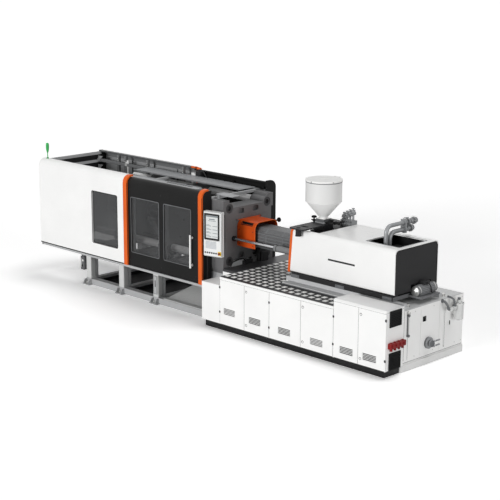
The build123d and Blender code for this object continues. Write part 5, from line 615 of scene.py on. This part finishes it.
part = Piece("lubrication_gauge", "machine", "filter_light")
part.box((-1112, -1096), (-742, -737), (300, 470))
part.turned((-1050, -739, 430), FRONT, [(0, 20), (7, 20), (9, 15)], 24)

# Stationary platen: hydraulic blocks with hoses, and bolts round the pull rods
part = Piece("platen_blocks", "machine", "rail_dark", "cover_dark")
part.box((2505, 2585), (190, 400), (830, 1130), 6)
part.box((2585, 2622), (220, 370), (900, 1060), 6)
part.box((2505, 2560), (-150, 60), (860, 960), 6)
part = Piece("platen_hoses", "machine", "rail_dark", "hose_black")
for index in range(4):
    y = 225 + index * 45
    part.tube([(2560, y, 830), (2566, y, 770), (2600, y - 20, 730 + 12 * index), (2640, y - 60, 760),
               (2690, y - 90, 800)], 12, 10)
part.tube([(2560, -120, 960), (2575, -200, 1010), (2560, -330, 1000), (2525, -400, 960), (2515, -430, 880)],
          11, 10)
part = Piece("platen_fittings", "machine", "rail_dark", "bright_bolt")
for index in range(4):
    part.hexagon((2560, 225 + index * 45, 812), UP, 17, 20)
part = Piece("rod_flanges", "machine", "bar_steel", "bolt_dark")
for side in (-1, 1):
    for turn in range(4):
        a = radians(45 + 90 * turn)
        part.turned((2540, side * 350 + 32 * cos(a), 1370 + 32 * sin(a)), RIGHT,
                    [(0, 6), (5, 6), (6, 4)], 8)

# Cover plates: folded ridges, screws, slots drawn as black plates of painted shadow, and hoses with clips
part = Piece("strip_ridges", "machine", "bright_sheet")
for x in range(-600, 2001, 200):
    part.box((x - 3, x + 3), (206, 590), (2054, 2058))
part.box((-680, 2060), (200, 206), (2054, 2068))
part.box((90, 1885), (-486, -480), (2149, 2158))
part = Piece("strip_screws", "machine", "bright_sheet", "bolt_dark")
for x in range(-640, 2001, 220):
    for y in (226, 574):
        part.turned((x, y, 2055), UP, [(0, 9), (2, 9), (4, 5)], 10)
part = Piece("strip_slot_painted_shadows", "machine", "grille_black")
for index in range(10):
    x = 1085 + index * 66
    part.box((x - 23, x + 23), (-552, -508), (2149, 2151.5))
part = Piece("clamp_hoses", "machine", "rail_dark", "hose_black")
for index in range(3):
    y = -420 + index * 34
    part.tube([(-620, y, 2040), (-300, y - 8, 2048), (240, y + 10, 2044), (900, y - 6, 2050),
               (1500, y + 4, 2044), (2060, y, 2040)], 11, 8, 6)
part = Piece("hose_clips", "machine", "bright_sheet")
for x in (-580, 80, 700, 1300, 1900):
    part.box((x - 12, x + 12), (-442, -332), (2026, 2031))
    part.box((x - 12, x + 12), (-448, -440), (2026, 2079))
    part.box((x - 12, x + 12), (-600, -444), (2072, 2079))

# Control panel: bezel, screen with plain fields, keys, dark buttons and the yellow plate round the stop
turn = radians(13.0)
PANEL = Matrix.Translation((2.330, -0.870, 0)) @ Matrix.Rotation(turn, 4, "Z")
part = Piece("screen_bezel", "control_panel", "cover_dark", place=PANEL)
part.ring(rounded((16, 314), (1414, 1856), 12, 0), 32, -4.0)
part = Piece("screen_glass", "control_panel", "panel_white", "screen_pale", place=PANEL)
part.box((44, 286), (1.5, 5), (1444, 1826), 1)
part = Piece("screen_fields", "control_panel", "panel_white", "screen_ink", place=PANEL)
part.box((50, 280), (0.8, 1.6), (1798, 1820), 0.2)
for row in range(4):
    z = 1470 + row * 58
    part.box((56, 150), (0.8, 1.6), (z, z + 8), 0.2)
    part.box((176, 274), (0.8, 1.6), (z, z + 8), 0.2)
    part.box((56, 118), (0.8, 1.6), (z + 18, z + 24), 0.2)
part.box((90, 240), (0.8, 1.6), (1730, 1738), 0.2)
part.box((110, 220), (0.8, 1.6), (1752, 1768), 0.2)
part = Piece("keypad_keys", "control_panel", "panel_white", "key_grey", place=PANEL)
for row in range(6):
    for column in range(10):
        x = 46 + column * 21
        part.box((x, x + 17), (-4.5, -2), (1270 + row * 21, 1286 + row * 21), 1)
part = Piece("panel_buttons", "control_panel", "panel_white", "rubber", place=PANEL)
for index in range(6):
    part.turned((40 + 42 * index, -5.5, 1200), FRONT, [(0, 14), (2, 14), (3.5, 10)], 18)
part = Piece("stop_plate", "control_panel", "panel_white", "yellow_plate", place=PANEL)
plate = [rounded((282, 346), (1168, 1236), 10, y) for y in (-0.2, -1.6)]
part.faces([*plate, rounded((284, 344), (1170, 1234), 9, -2.4)])
part = Piece("panel_frame", "control_panel", "panel_white", "seam_dark", place=PANEL)
part.ring(rounded((3, 347), (1144, 1881), 12, 0), 3, -1.2)
part.box((30, 320), (-1.0, 0.6), (1404, 1407), 0.3)
for index in range(6):
    part.box((90, 260), (89, 91.5), (1520 + index * 34, 1530 + index * 34), 0.5)
part = Piece("panel_bumper", "control_panel", "cover_dark", "gasket_grey", place=PANEL)
part.ring(rounded((-1.5, 351.5), (1138.5, 1886.5), 15, 34), 7, 12.0)
part = Piece("panel_cable", "machine", "rail_dark", "hose_black")
part.tube([(2286, -745, 1201), (2288, -739, 1120), (2286, -736, 1000), (2278, -732, 800), (2260, -722, 665),
           (2229, -716, 645)], 12, 10)

# Nozzle guard: rim, grip lining and hinge bolts
def over_guard(x, radius, angle):
    """A point on the near rounded edge of the nozzle guard, the angle counted up from its side."""
    return x, -150 - radius * cos(radians(angle)), 1561 + radius * sin(radians(angle))


part = Piece("nozzle_guard_rim", "nozzle_guard", "trim_orange")
near = [over_guard(2918, 114, 10 * step) for step in range(10)]
far = [(x, -y, z) for x, y, z in reversed(near)]
part.tube([(2918, -264, 1244)] + near + far + [(2918, 264, 1244)], 7, 8, 1)
part = Piece("grip_lining", "nozzle_guard", "rail_dark", "rubber")
part.faces([[over_guard(x, radius, angle)
             for x, radius in ((2590, 107), (2854, 107), (2854, 101), (2590, 101))]
            for angle in (22, 30, 38, 46, 54)])
for low, high in ((24, 29), (48, 53)):
    part.faces([[over_guard(x, radius, angle)
                 for x, radius in ((2592, 119), (2852, 119), (2852, 124), (2592, 124))]
                for angle in (low, high)])
for x in (2592, 2842):
    part.faces([[over_guard(at, radius, angle)
                 for at, radius in ((x, 119), (x + 10, 119), (x + 10, 124), (x, 124))]
                for angle in (24, 31, 38, 46, 53)])
part = Piece("nozzle_guard_bolts", "nozzle_guard", "rail_dark", "bolt_dark")
for x in (2560, 2875):
    for z in (1285, 1520):
        part.turned((x, -270, z), FRONT, [(0, 9), (2, 9), (4, 5)], 12)

# Barrel cover: folded joints, strips between the tiers and screws
part = Piece("barrel_cover_bands", "carriage", "mesh_grey", "gasket_grey")
for x in (2736, 3100, 3470, 3860):
    half = ((138, 1242), (198, 1302), (198, 1533), (138, 1593))
    loop = [(-y, z) for y, z in half] + list(reversed(half))
    wide = [(y * 1.018, 1417.5 + (z - 1417.5) * 1.018) for y, z in loop]
    bands = ((x, loop), (x, wide), (x + 18, wide), (x + 18, loop))
    part.faces([[(at, y, z) for y, z in outline] for at, outline in bands], caps=False)
for side in (-1, 1):
    for z in (1388, 1442, 1496):
        part.box((2740, 3886), (side * 199, side * 205), (z, z + 12))
part = Piece("barrel_cover_screws", "carriage", "mesh_grey", "bolt_dark")
for x in (2749, 3113, 3483, 3873):
    for z in (1330, 1515):
        part.turned((x, -203, z), FRONT, [(0, 7), (2, 7), (3, 4)], 10)
part = Piece("barrel_cover_beams", "carriage", "mesh_grey", "cover_dark")
for side in (-1, 1):
    part.box((2760, 3880), (side * 200, side * 228), (1300, 1345), 3)
part = Piece("pull_cylinder_caps", "carriage", "bar_steel", "link_grey")
for side in (-1, 1):
    part.turned((3462, side * 350, 1370), RIGHT, [(0, 40), (4, 56), (13, 56)], 28)

# Injection cover: leaning orange edge, lower seam, plain stripe and rim of the opening
part = Piece("cover_edge", "carriage", "trim_orange")
low, high, wide = (3901, 1086), (3961, 1798), 46
lean = (high[0] - low[0]) / (high[1] - low[1])
outer = []
for z in (1094, 1300, 1500, 1700, 1738):
    outer.append((low[0] + (z - low[1]) * lean, -521.5, z))
for step in range(1, 7):
    a = radians(90 * step / 6)
    z = 1736 + 64 * sin(a)
    outer.append((low[0] + (z - low[1]) * lean, -457 - 64.5 * cos(a), z))
inner = [(x + wide, y, z) for x, y, z in outer]
back = [(x + wide, y + 4, z - 1.5) for x, y, z in outer]
front = [(x - 1, y + 22, z - 1) for x, y, z in outer]
part.faces([front, [(x - 1, y, z) for x, y, z in outer], inner, back], closed=False, caps=False)
part = Piece("cover_stripe", "carriage", "rail_dark", "cover_dark")
part.box((4743, 5281), (-520.6, -518.6), (1421, 1449), 0.6)
part = Piece("cover_lower_seam", "carriage", "rail_dark", "seam_dark")
part.box((3912, 6046), (-520.5, -518), (1092, 1096))
part = Piece("cover_opening_rim", "carriage", "cabinet_white", "gasket_grey")
part.ring(rounded((5330, 5980), (-343, 343), 16, 1798, "xy"), 12, 4.0, 2)
part = Piece("cover_end_screws", "carriage", "cover_dark", "bolt_dark")
for y in (-430, 430):
    for z in (1180, 1440, 1700):
        part.turned((6045, y, z), RIGHT, [(0, 11), (2, 11), (3.5, 7)], 14)
part = Piece("cover_end_joint", "carriage", "rail_dark", "rubber")
part.ring(rounded((-500, 500), (1105, 1779), 46, 6045, "yz"), 5, 1.6, 0)

# Drive seen through the opening
part = Piece("drive_top", "carriage", "rail_dark", "link_grey")
for x in range(5360, 5960, 100):
    part.box((x, x + 60), (-300, 300), (1575, 1600), 5)
part.box((5350, 5965), (-310, 310), (1563, 1575), 3)
part = Piece("drive_hoses", "carriage", "rail_dark", "hose_black")
for index in range(3):
    y = 120 + index * 60
    part.tube([(5360, y, 1610), (5480, y + 10, 1650), (5700, y - 20, 1640), (5940, y + 10, 1606)], 15, 10)

# Hopper slide: knobs, handle, bolts, rim of the oval hole and the spout's lip
part = Piece("slide_knob", "carriage", "slide_black", "rubber")
part.box((3928, 4060), (-18, 52), (1851, 1866), 3)
part.rod((3962, 18, 1866), (3962, 18, 1892), 12)
part.turned((3962, 18, 1890), UP, [(0, 18), (6, 42), (26, 44), (36, 32)], 10)
part = Piece("slide_handle", "hopper", "slide_black", "rubber")
part.box((4230, 4440), (-60, 40), (1851, 1872), 4)
part.tube([(4400, -10, 1880), (4440, -14, 1892), (4500, -40, 1900), (4540, -60, 1900)], 17, 12)
part.turned((4536, -58, 1900), (1, -0.5, 0), [(0, 20), (8, 27), (44, 25), (52, 16)], 14)
part.turned((4300, 60, 1851), UP, [(0, 20), (20, 20), (24, 30), (44, 30), (50, 20)], 8)
part.turned((4060, -90, 1851), UP, [(0, 16), (14, 16), (18, 26), (36, 26), (42, 18)], 8)
part = Piece("slide_bolts", "carriage", "slide_black", "bright_bolt")
for x in (4060, 4290):
    for y in (130, 285):
        part.bolt((x, y, 1850), UP, 9, 9)
for x in (4050, 4300):
    for y in (-136, 136):
        part.bolt((x, y, 1730), UP, 8, 8)
part = Piece("slide_hole_rim", "carriage", "slide_black", "rail_dark")
part.ring(rounded((4094, 4256), (-476, -404), 34, 1850, "xy"), 7, 0.2, 2)
part = Piece("spout_lip", "carriage", "slide_black")
part.turned((HOPPER_X, -580, 1720), UP, [(0, 44), (0, 50), (12, 50), (14, 45)], 24)

# Hopper: bead under the rim, weld, neck flange and lid clips
ROUND = [2 * pi * k / 64 for k in range(64)]
for name, finish, z, r in (("hopper_bead", "gasket_grey", 2513, 290),
                           ("hopper_weld", "hopper_painted_light_and_shade", 2198, 289)):
    part = Piece(name, "hopper", "hopper_white", finish)
    rings = []
    for dz, dr in ((-7, -0.5), (-5, 3.0), (0, 4.5), (5, 3.0), (7, -0.5)):
        rings.append([(HOPPER_X + (r + dr) * cos(a), (r + dr) * sin(a), z + dz) for a in ROUND])
    part.faces(rings, caps=False)
part = Piece("hopper_flange", "hopper", "slide_black", "pipe_grey")
part.box((4078, 4272), (-97, 97), (1851, 1866), 3)
for x in (4092, 4258):
    for y in (-82, 82):
        part.bolt((x, y, 1866), UP, 8, 8)
part = Piece("hopper_clips", "hopper_lid", "hopper_white", "bright_bolt")
for a in (radians(200), radians(270), radians(340)):
    part.turned((HOPPER_X + 298 * cos(a), 298 * sin(a), 2535), (cos(a), sin(a), 0),
                [(-4, 12), (4, 12), (8, 8)], 12)

# Valve group beside the hopper, pipe bolts and hose ends
part = Piece("valve_group", "carriage", "pipe_grey")
for index in range(4):
    x = 4266 + index * 62
    top = 1960 + index * 30
    part.turned((x - 46, 400, top - 60), RIGHT,
                [(0, 14), (4, 18), (20, 18), (24, 11), (70, 11), (74, 18), (92, 18), (96, 13)], 12)
    part.turned((x, 352, top - 88), REAR,
                [(0, 13), (4, 17), (18, 17), (22, 10), (78, 10), (82, 17), (96, 17)], 12)
    part.hexagon((x, 400, top - 2), UP, 24, 16)
for index in range(5):
    part.turned((4250 + index * 50, 340, 1800), FRONT,
                [(0, 17), (10, 17), (12, 12), (30, 12), (34, 17), (44, 15)], 10)
part.box((4225, 4495), (332, 468), (1728, 1742), 3)
part = Piece("valve_screws", "carriage", "pipe_grey", "bolt_dark")
for index in range(6):
    for z in (1756, 1844):
        part.turned((4250 + index * 42, 340, z), FRONT, [(0, 8), (7, 8), (8, 5)], 8)
part = Piece("pipe_bolts", "carriage", "pipe_grey", "bright_bolt")
for y, z in ((350, 2030), (500, 2030), (270, 1925), (420, 1925)):
    for index in range(6):
        a = radians(60 * index)
        part.turned((PIPE_X + 46 * cos(a), y, z + 46 * sin(a)), REAR, [(0, 7), (6, 7), (7, 5)], 6)
        part.turned((PIPE_X + 46 * cos(a), y - 26, z + 46 * sin(a)), FRONT,
                    [(0, 7), (6, 7), (7, 5)], 6)
part = Piece("pipe_ends", "carriage", "pipe_grey")
for y, z in ((500, 2030), (420, 1925)):
    part.turned((PIPE_X, y, z), REAR, [(0, 34), (26, 34), (28, 44), (44, 44), (46, 30)], 24)
    part.turned((PIPE_X, y - 110, z), REAR, [(0, 36), (3, 44), (20, 44), (23, 36)], 8)
part.tube([(PIPE_X, 250, 2080), (PIPE_X, 250, 2098), (5600, 262, 2106), (5640, 300, 2110)], 8, 8)

# Carriage: rail trucks, skirt, motor caps, fins and box, and the tank's top
part = Piece("rail_trucks", "carriage", "rail_dark", "link_grey")
for side in (-1, 1):
    for x in (4020, 4950, 5880):
        part.box((x - 90, x + 90), (side * 380, side * 482), (1001, 1058), 5)
        part.turned((x - 60, side * 482, 1040), (0, side, 0), [(0, 7), (8, 7), (9, 5)], 8)
        part.turned((x + 60, side * 482, 1040), (0, side, 0), [(0, 7), (8, 7), (9, 5)], 8)
part = Piece("carriage_skirt", "carriage", "rail_dark", "cover_dark")
part.box((3945, 5985), (-478, -470), (1004, 1084), 2)
part.box((3945, 5985), (470, 478), (1004, 1084), 2)
part = Piece("motor_caps", "carriage", "bar_steel", "bright_bolt")
for y, s in ((-100, -1), (350, 1)):
    part.turned((6110, y, 1112), (0, s, 0), [(0, 77), (3, 77), (10, 70), (16, 44), (30, 40), (34, 28)], 28)
for y in (-60, 300):
    part.turned((6110, y, 1112), REAR, [(0, 82), (18, 82)], 28)
part = Piece("motor_fins", "carriage", "pipe_grey")
for index in range(20):
    a = radians(18 * index)
    c, s = cos(a), sin(a)
    quad = [(76, -3), (84, -2), (84, 2), (76, 3)]
    ring = [(6110 + r * c - w * s, 1112 + r * s + w * c) for r, w in quad]
    part.faces([[(x, -36, z) for x, z in ring], [(x, 280, z) for x, z in ring]])
part = Piece("motor_box", "carriage", "rail_dark", "cover_dark")
part.box((6060, 6160), (60, 200), (1186, 1240), 6)
part.tube([(6160, 130, 1214), (6190, 130, 1210), (6215, 150, 1150), (6200, 200, 1060)], 10, 10)
part = Piece("tank_top_fittings", "machine", "filter_light", "bright_bolt")
part.turned((6150, -330, 933), UP, [(0, 46), (5, 46), (8, 34), (34, 34), (38, 28)], 24)
part.turned((6160, 520, 933), UP, [(0, 60), (6, 60), (8, 40), (40, 40), (46, 30)], 24)
part.turned((6060, -420, 933), UP, [(0, 22), (16, 22), (20, 14)], 16)
# The tank's top lid in grey, painted shade on a top face
part = Piece("tank_top_lid", "machine", "cabinet_white", "tank_top")
part.box((5350, 6270), (-600, 880), (932, 938), 2)

# Tread marks in rows on the platform
part = Piece("tread_marks", "machine", "plate_tread", "worn_bar")
PITCH, BAR, COUNT = 140.0, 84.0, 5
MARK = ((-1, 0.0), (-0.8, -6.0), (0.8, -6.0), (1, 0.0), (0.8, 6.0), (-0.8, 6.0))
for row in range(12):
    for column in range(18):
        x0 = 2952 + column * PITCH
        y0 = -984 + (row + 0.5) * PITCH
        if x0 + 42 > 5339 or (y0 + 30 > -625 and x0 + 40 > 3885) or y0 + 40 > 650:
            continue
        for bar in range(COUNT):
            y = y0 - BAR / 2 + (bar + 0.5) * BAR / COUNT
            half = BAR / 2
            ends = [(x0 + half * along, y + aside, 914.2) for along, aside in MARK]
            tops = [(x0 + (p[0] - x0) * 0.9, y + (p[1] - y) * 0.6, 917.4) for p in ends]
            part.faces([ends, tops])
part = Piece("platform_edge", "machine", "bright_sheet", "gasket_grey")
part.box((3885, 5339), (-646, -628), (914, 926), 3)
part.box((2906, 2914), (-1040, 640), (914, 922), 2)

# Cabinets: door edges, hinge marks, locks, and louvres with painted shade on and behind their slots
SEAMS = (2904, 3461, 4010, 4678, 5339, 5825, 6344)
part = Piece("cabinet_edges", "machine", "rail_dark", "seam_dark")
for x in SEAMS[:-1]:
    top = 872 if x < 5339 else 992
    part.box((x - 4, x + 4), (-1053.4, -1046), (136, top))
part.box((2904, 5339), (-1053.5, -1046), (866, 876))
part.box((5339, 6344), (-1053.5, -1046), (994, 998))
part = Piece("hinge_marks", "machine", "rail_dark", "bolt_dark")
for x, levels in ((2904, (742, 330)), (4010, (706, 300)), (5339, (760, 330)), (6336, (900, 290))):
    for z in levels:
        part.turned((x, -1049.5, z - 22), UP, [(0, 7), (2, 8), (42, 8), (44, 7)], 14)
        part.box((x - 16, x + 16), (-1056, -1052), (z - 16, z + 16), 1)
for number, left, top in ((2, 3461, 872), (4, 4678, 872), (6, 5825, 998)):
    part = Piece(f"cabinet_locks_{number}", f"cabinet_door_{number}", "rail_dark", "rubber")
    for z in (226, top - 95):
        part.turned((left + 45, -1053.5, z), FRONT, [(0, 21), (2.5, 21), (4.4, 17)], 20)
# The louvre blades carry painted shade: dark on most doors, paler on doors 1 and 4
VENTS = ((3124, 362), (3695, 332), (4336, 307), (5004, 283), (5599, 282), (6045, 280))
for number, (x, z) in enumerate(VENTS, start=1):
    shade = "louvre_pale_painted_shade" if number in (1, 4) else "louvre_dark_painted_shade"
    part = Piece(f"louvre_lips_{number}", f"cabinet_door_{number}", "cabinet_white", shade)
    for row in range(5):
        low = z + (row - 2.5) * 22
        part.prism(x - 128, x + 128, [(-1053.6, low + 10), (-1056.5, low + 9), (-1053.6, low + 16)])
    # Painted shadow: black sheets behind the louvre slots
    part = Piece(f"louvre_painted_shadows_{number}", f"cabinet_door_{number}", "grille_black")
    for row in range(5):
        low = z + (row - 2.5) * 22
        part.box((x - 124, x + 124), (-1046, -1040), (low + 1, low + 9), 0.5)

# Raised cabinet: lid seam
part = Piece("raised_lid_seam", "machine", "rail_dark", "seam_dark")
part.box((5339, 6345.5), (-1053.5, -1048), (1008, 1010))
part.box((6343, 6345.6), (-1030, -650), (1008, 1011))

# Vent grilles: frames
part = Piece("grille_frames", "machine", "grille_black")
for low, high in ((785, 1020), (135, 385)):
    part.ring(rounded((-980, -713), (low - 6, high + 6), 6, 6344, "yz", 3), 14, 16.0, 0)

# Service manifold: unions
part = Piece("manifold_unions", "machine", "manifold_red")
for index in range(4):
    y = -961 + index * 87.5
    part.hexagon((6374, y, 438), DOWN, 22, 8)
    part.turned((6374, y, 549), UP, [(0, 16), (3, 18), (10, 18), (13, 12)], 16)

# Rear of the injection side: service panels, locks, louvres, sight glass, tank hatch and cover seams
BACK = 897.5
part = Piece("rear_panel_seams", "machine", "rail_dark", "seam_dark")
for x in (2900, 3520, 4140, 4760, 5380, 6000):
    part.box((x - 3, x + 3), (BACK - 4, BACK + 1), (150, 890))
part.box((2560, 6270), (BACK - 4, BACK + 1), (146, 152))
part = Piece("rear_service_panels", "machine", "cabinet_white")
for x in (2960, 3580, 4200, 4820):
    part.box((x, x + 500), (BACK - 4, BACK + 3), (240, 820), 2)
part = Piece("rear_panel_locks", "machine", "rail_dark", "rubber")
for x in (2960, 3580, 4200, 4820):
    for z in (300, 760):
        part.turned((x + 40, BACK + 2, z), REAR, [(0, 17), (3, 17), (5, 13)], 18)
# Louvre blades in the dark painted shade
part = Piece("rear_service_louvres", "machine", "rail_dark", "louvre_dark_painted_shade")
for x in (3210, 4450):
    for row in range(8):
        z = 330 + row * 28
        part.prism(x - 130, x + 130, [(BACK + 2, z), (BACK + 7, z + 3), (BACK + 2, z + 16)])
part = Piece("tank_sight_glass", "machine", "filter_light", "bright_bolt")
part.box((5600, 5660), (BACK - 4, BACK + 12), (420, 780), 5)
part.turned((5630, BACK + 12, 460), REAR, [(0, 14), (6, 14), (8, 10)], 6)
part.turned((5630, BACK + 12, 740), REAR, [(0, 14), (6, 14), (8, 10)], 6)
part = Piece("tank_sight_window", "machine", "panel_white", "yellow_plate")
part.box((5618, 5642), (BACK + 11, BACK + 14), (500, 700), 2)
part = Piece("tank_hatch", "machine", "cabinet_white")
part.turned((5830, BACK - 2, 560), REAR, [(0, 190), (6, 190), (10, 182), (14, 120), (16, 60)], 40)
part = Piece("tank_hatch_bolts", "machine", "filter_light", "bright_bolt")
for index in range(12):
    a = radians(30 * index)
    part.turned((5830 + 165 * cos(a), BACK + 4, 560 + 165 * sin(a)), REAR,
                [(0, 12), (8, 12), (10, 9)], 6)
part = Piece("rear_cover_seams", "carriage", "rail_dark", "seam_dark")
for x in (4495, 5200, 5700):
    part.box((x - 2, x + 2), (518, 520.4), (1100, 1730))
# Louvre blades in the dark painted shade
part = Piece("rear_cover_louvres", "carriage", "rail_dark", "louvre_dark_painted_shade")
for row in range(9):
    z = 1250 + row * 30
    part.prism(4720, 5060, [(518.5, z), (523, z + 3), (519, z + 18)])

# Tank end: bolts, gauge tube and ball, plate, valve handles, filter fittings
part = Piece("gauge_tube", "machine", "filter_light", "bright_bolt")
part.rod((6296, -480, 560), (6296, -480, 845), 8)
part.turned((6303, -480, 872), UP, [(0, 14), (10, 24), (26, 30), (42, 24), (52, 10)], 20)
part = Piece("recess_plate", "machine", "grille_black")
part.ring(rounded((-114, -34), (680, 760), 6, 6283, "yz", 3), 8, 3.0, 0)
part.box((6274, 6277), (-110, -38), (684, 756), 1)
# Painted shadow: thin black plates for the two slots in the tank's end
part = Piece("slot_painted_shadows", "machine", "grille_black")
for y in (560, 640):
    part.box((6275, 6277.5), (y - 17, y + 17), (497, 563), 0.5)
part = Piece("valve_flange", "machine", "pipe_grey")
part.turned((6305, 25, 330), RIGHT, [(0, 88), (4, 91), (14, 91), (18, 84)], 32)
part.turned((6340, 25, 330), RIGHT, [(0, 52), (4, 58), (22, 58), (26, 52)], 8)
for word, z in (("upper", 366), ("lower", 294)):
    part = Piece(f"lever_grip_{word}", f"valve_lever_{word}", "rail_dark", "pipe_grey")
    part.tube([(6386, 90, z), (6386, 130, z), (6386, 176, z)], 13, 12, 3)
    part.turned((6393, 45, z), RIGHT, [(0, 15), (6, 15), (8, 10)], 6)
part = Piece("filter_details", "machine", "filter_light", "link_grey")
part.turned((FILTER_X, 640, 900), UP, [(0, 18), (10, 18), (12, 26), (30, 26), (34, 16)], 18)
for index in range(8):
    a = radians(45 * index)
    part.turned((FILTER_X + 68 * cos(a), 640 + 68 * sin(a), 852), UP, [(0, 7), (8, 7), (9, 5)], 6)
part.turned((FILTER_X, 640, 598), UP, [(-16, 30), (-10, 40), (4, 40)], 20)
part = Piece("filter_pipes", "machine", "pipe_grey", "link_grey")
part.tube([(FILTER_X, 404, 790), (FILTER_X, 380, 800), (6375, 360, 860), (6340, 350, 905), (6285, 350, 915)],
          20, 14)
part.turned((6300, 350, 914), (-1, 0, 0), [(0, 24), (4, 32), (20, 32), (24, 24)], 8)
part.tube([(FILTER_X, 520, 820), (FILTER_X, 520, 900), (6350, 520, 934), (6260, 520, 950)], 16, 12)
part.turned((FILTER_X, 520, 812), UP, [(0, 22), (4, 28), (22, 28), (26, 22)], 8)
part = Piece("tank_end_screws", "machine", "cabinet_white", "bright_bolt")
for y in (-560, -300, 150, 420, 700, 860):
    for z in (190, 880):
        part.turned((6283, y, z), RIGHT, [(0, 8), (2, 8), (3, 5)], 10)
part = Piece("tank_seams", "machine", "rail_dark", "seam_dark")
for y in (-560, 430, -470):
    part.box((6282, 6284.6), (y - 2.5, y + 2.5), (170, 920))
part.box((6282, 6284.6), (-620, 895), (131, 136))

for part in PIECES:
    part.done()

# Camera at the photograph's viewing angle
yaw, pitch, roll = radians(-44.74), radians(13.49), radians(0.23)
ahead = Vector((sin(yaw) * cos(pitch), cos(yaw) * cos(pitch), -sin(pitch)))
right = Vector((cos(yaw), -sin(yaw), 0))
above = right.cross(ahead)
level, square = right, above
right = level * cos(roll) + square * sin(roll)
above = square * cos(roll) - level * sin(roll)
lens = bpy.data.cameras.new("view")
lens.sensor_width = 36.0
lens.lens = 95.16
lens.clip_end = 2000.0
camera = bpy.data.objects.new("view", lens)
turned = Matrix((right, above, -ahead)).transposed().to_4x4()
camera.matrix_world = Matrix.Translation((17.745, -15.34, 6.30)) @ turned
scene.collection.objects.link(camera)
scene.camera = camera


# Light, floor and background
def sun(name, direction, strength, angle):
    lamp = bpy.data.lights.new(name, "SUN")
    lamp.energy = strength
    lamp.angle = radians(angle)
    thing = bpy.data.objects.new(name, lamp)
    thing.rotation_euler = Vector(direction).to_track_quat("-Z", "Y").to_euler()
    scene.collection.objects.link(thing)


sun("key", (0.05, 0.985, -0.16), 1.92, 20)
sun("side", (-0.98, 0.10, -0.16), 0.82, 20)
sun("top", (-0.16, -0.32, -0.93), 1.12, 40)
world = bpy.data.worlds.new("studio")
world.use_nodes = True
scene.world = world
tree = world.node_tree
tree.nodes.clear()
light_path = tree.nodes.new("ShaderNodeLightPath")
rays = light_path.outputs["Is Camera Ray"]
for ray in ("Is Transmission Ray", "Is Glossy Ray"):
    either = tree.nodes.new("ShaderNodeMath")
    either.operation = "MAXIMUM"
    tree.links.new(rays, either.inputs[0])
    tree.links.new(light_path.outputs[ray], either.inputs[1])
    rays = either.outputs[0]
SKY_LIGHT = 0.22
SKY_SEEN = 1.0
choice = tree.nodes.new("ShaderNodeMixShader")
tree.links.new(rays, choice.inputs[0])
for place, strength in ((1, SKY_LIGHT), (2, SKY_SEEN)):
    sky = tree.nodes.new("ShaderNodeBackground")
    sky.inputs[0].default_value = (1, 1, 1, 1)
    sky.inputs[1].default_value = strength
    tree.links.new(sky.outputs[0], choice.inputs[place])
tree.links.new(choice.outputs[0], tree.nodes.new("ShaderNodeOutputWorld").inputs[0])

floor_data = bpy.data.meshes.new("floor")
grid = bmesh.new()
bmesh.ops.create_grid(grid, x_segments=8, y_segments=8, size=300.0)
grid.to_mesh(floor_data)
grid.free()
floor = bpy.data.objects.new("floor", floor_data)
scene.collection.objects.link(floor)
floor.location.z = -0.001
floor_finish = Finish("floor_pale", (240, 240, 240), 0.9, drift=0.0, relief=0.0)
pale = floor_finish.node("ShaderNodeBsdfDiffuse")
pale.inputs[0].default_value = (1.36, 1.36, 1.36, 1)
lift = floor_finish.node("ShaderNodeEmission")
lift.inputs[0].default_value = (1, 1, 1, 1)
lift.inputs[1].default_value = 0.1
both = floor_finish.node("ShaderNodeAddShader")
floor_finish.link(pale.outputs[0], both.inputs[0])
floor_finish.link(lift.outputs[0], both.inputs[1])
camera_ray = floor_finish.node("ShaderNodeLightPath")
pick = floor_finish.node("ShaderNodeMixShader")
floor_finish.link(camera_ray.outputs["Is Camera Ray"], pick.inputs[0])
floor_finish.link(floor_finish.shader.outputs[0], pick.inputs[1])
floor_finish.link(both.outputs[0], pick.inputs[2])
floor_finish.link(pick.outputs[0], floor_finish.out.inputs[0])
floor_data.materials.append(floor_finish.material)
floor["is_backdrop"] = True

scene.view_settings.view_transform = "Standard"
low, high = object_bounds()
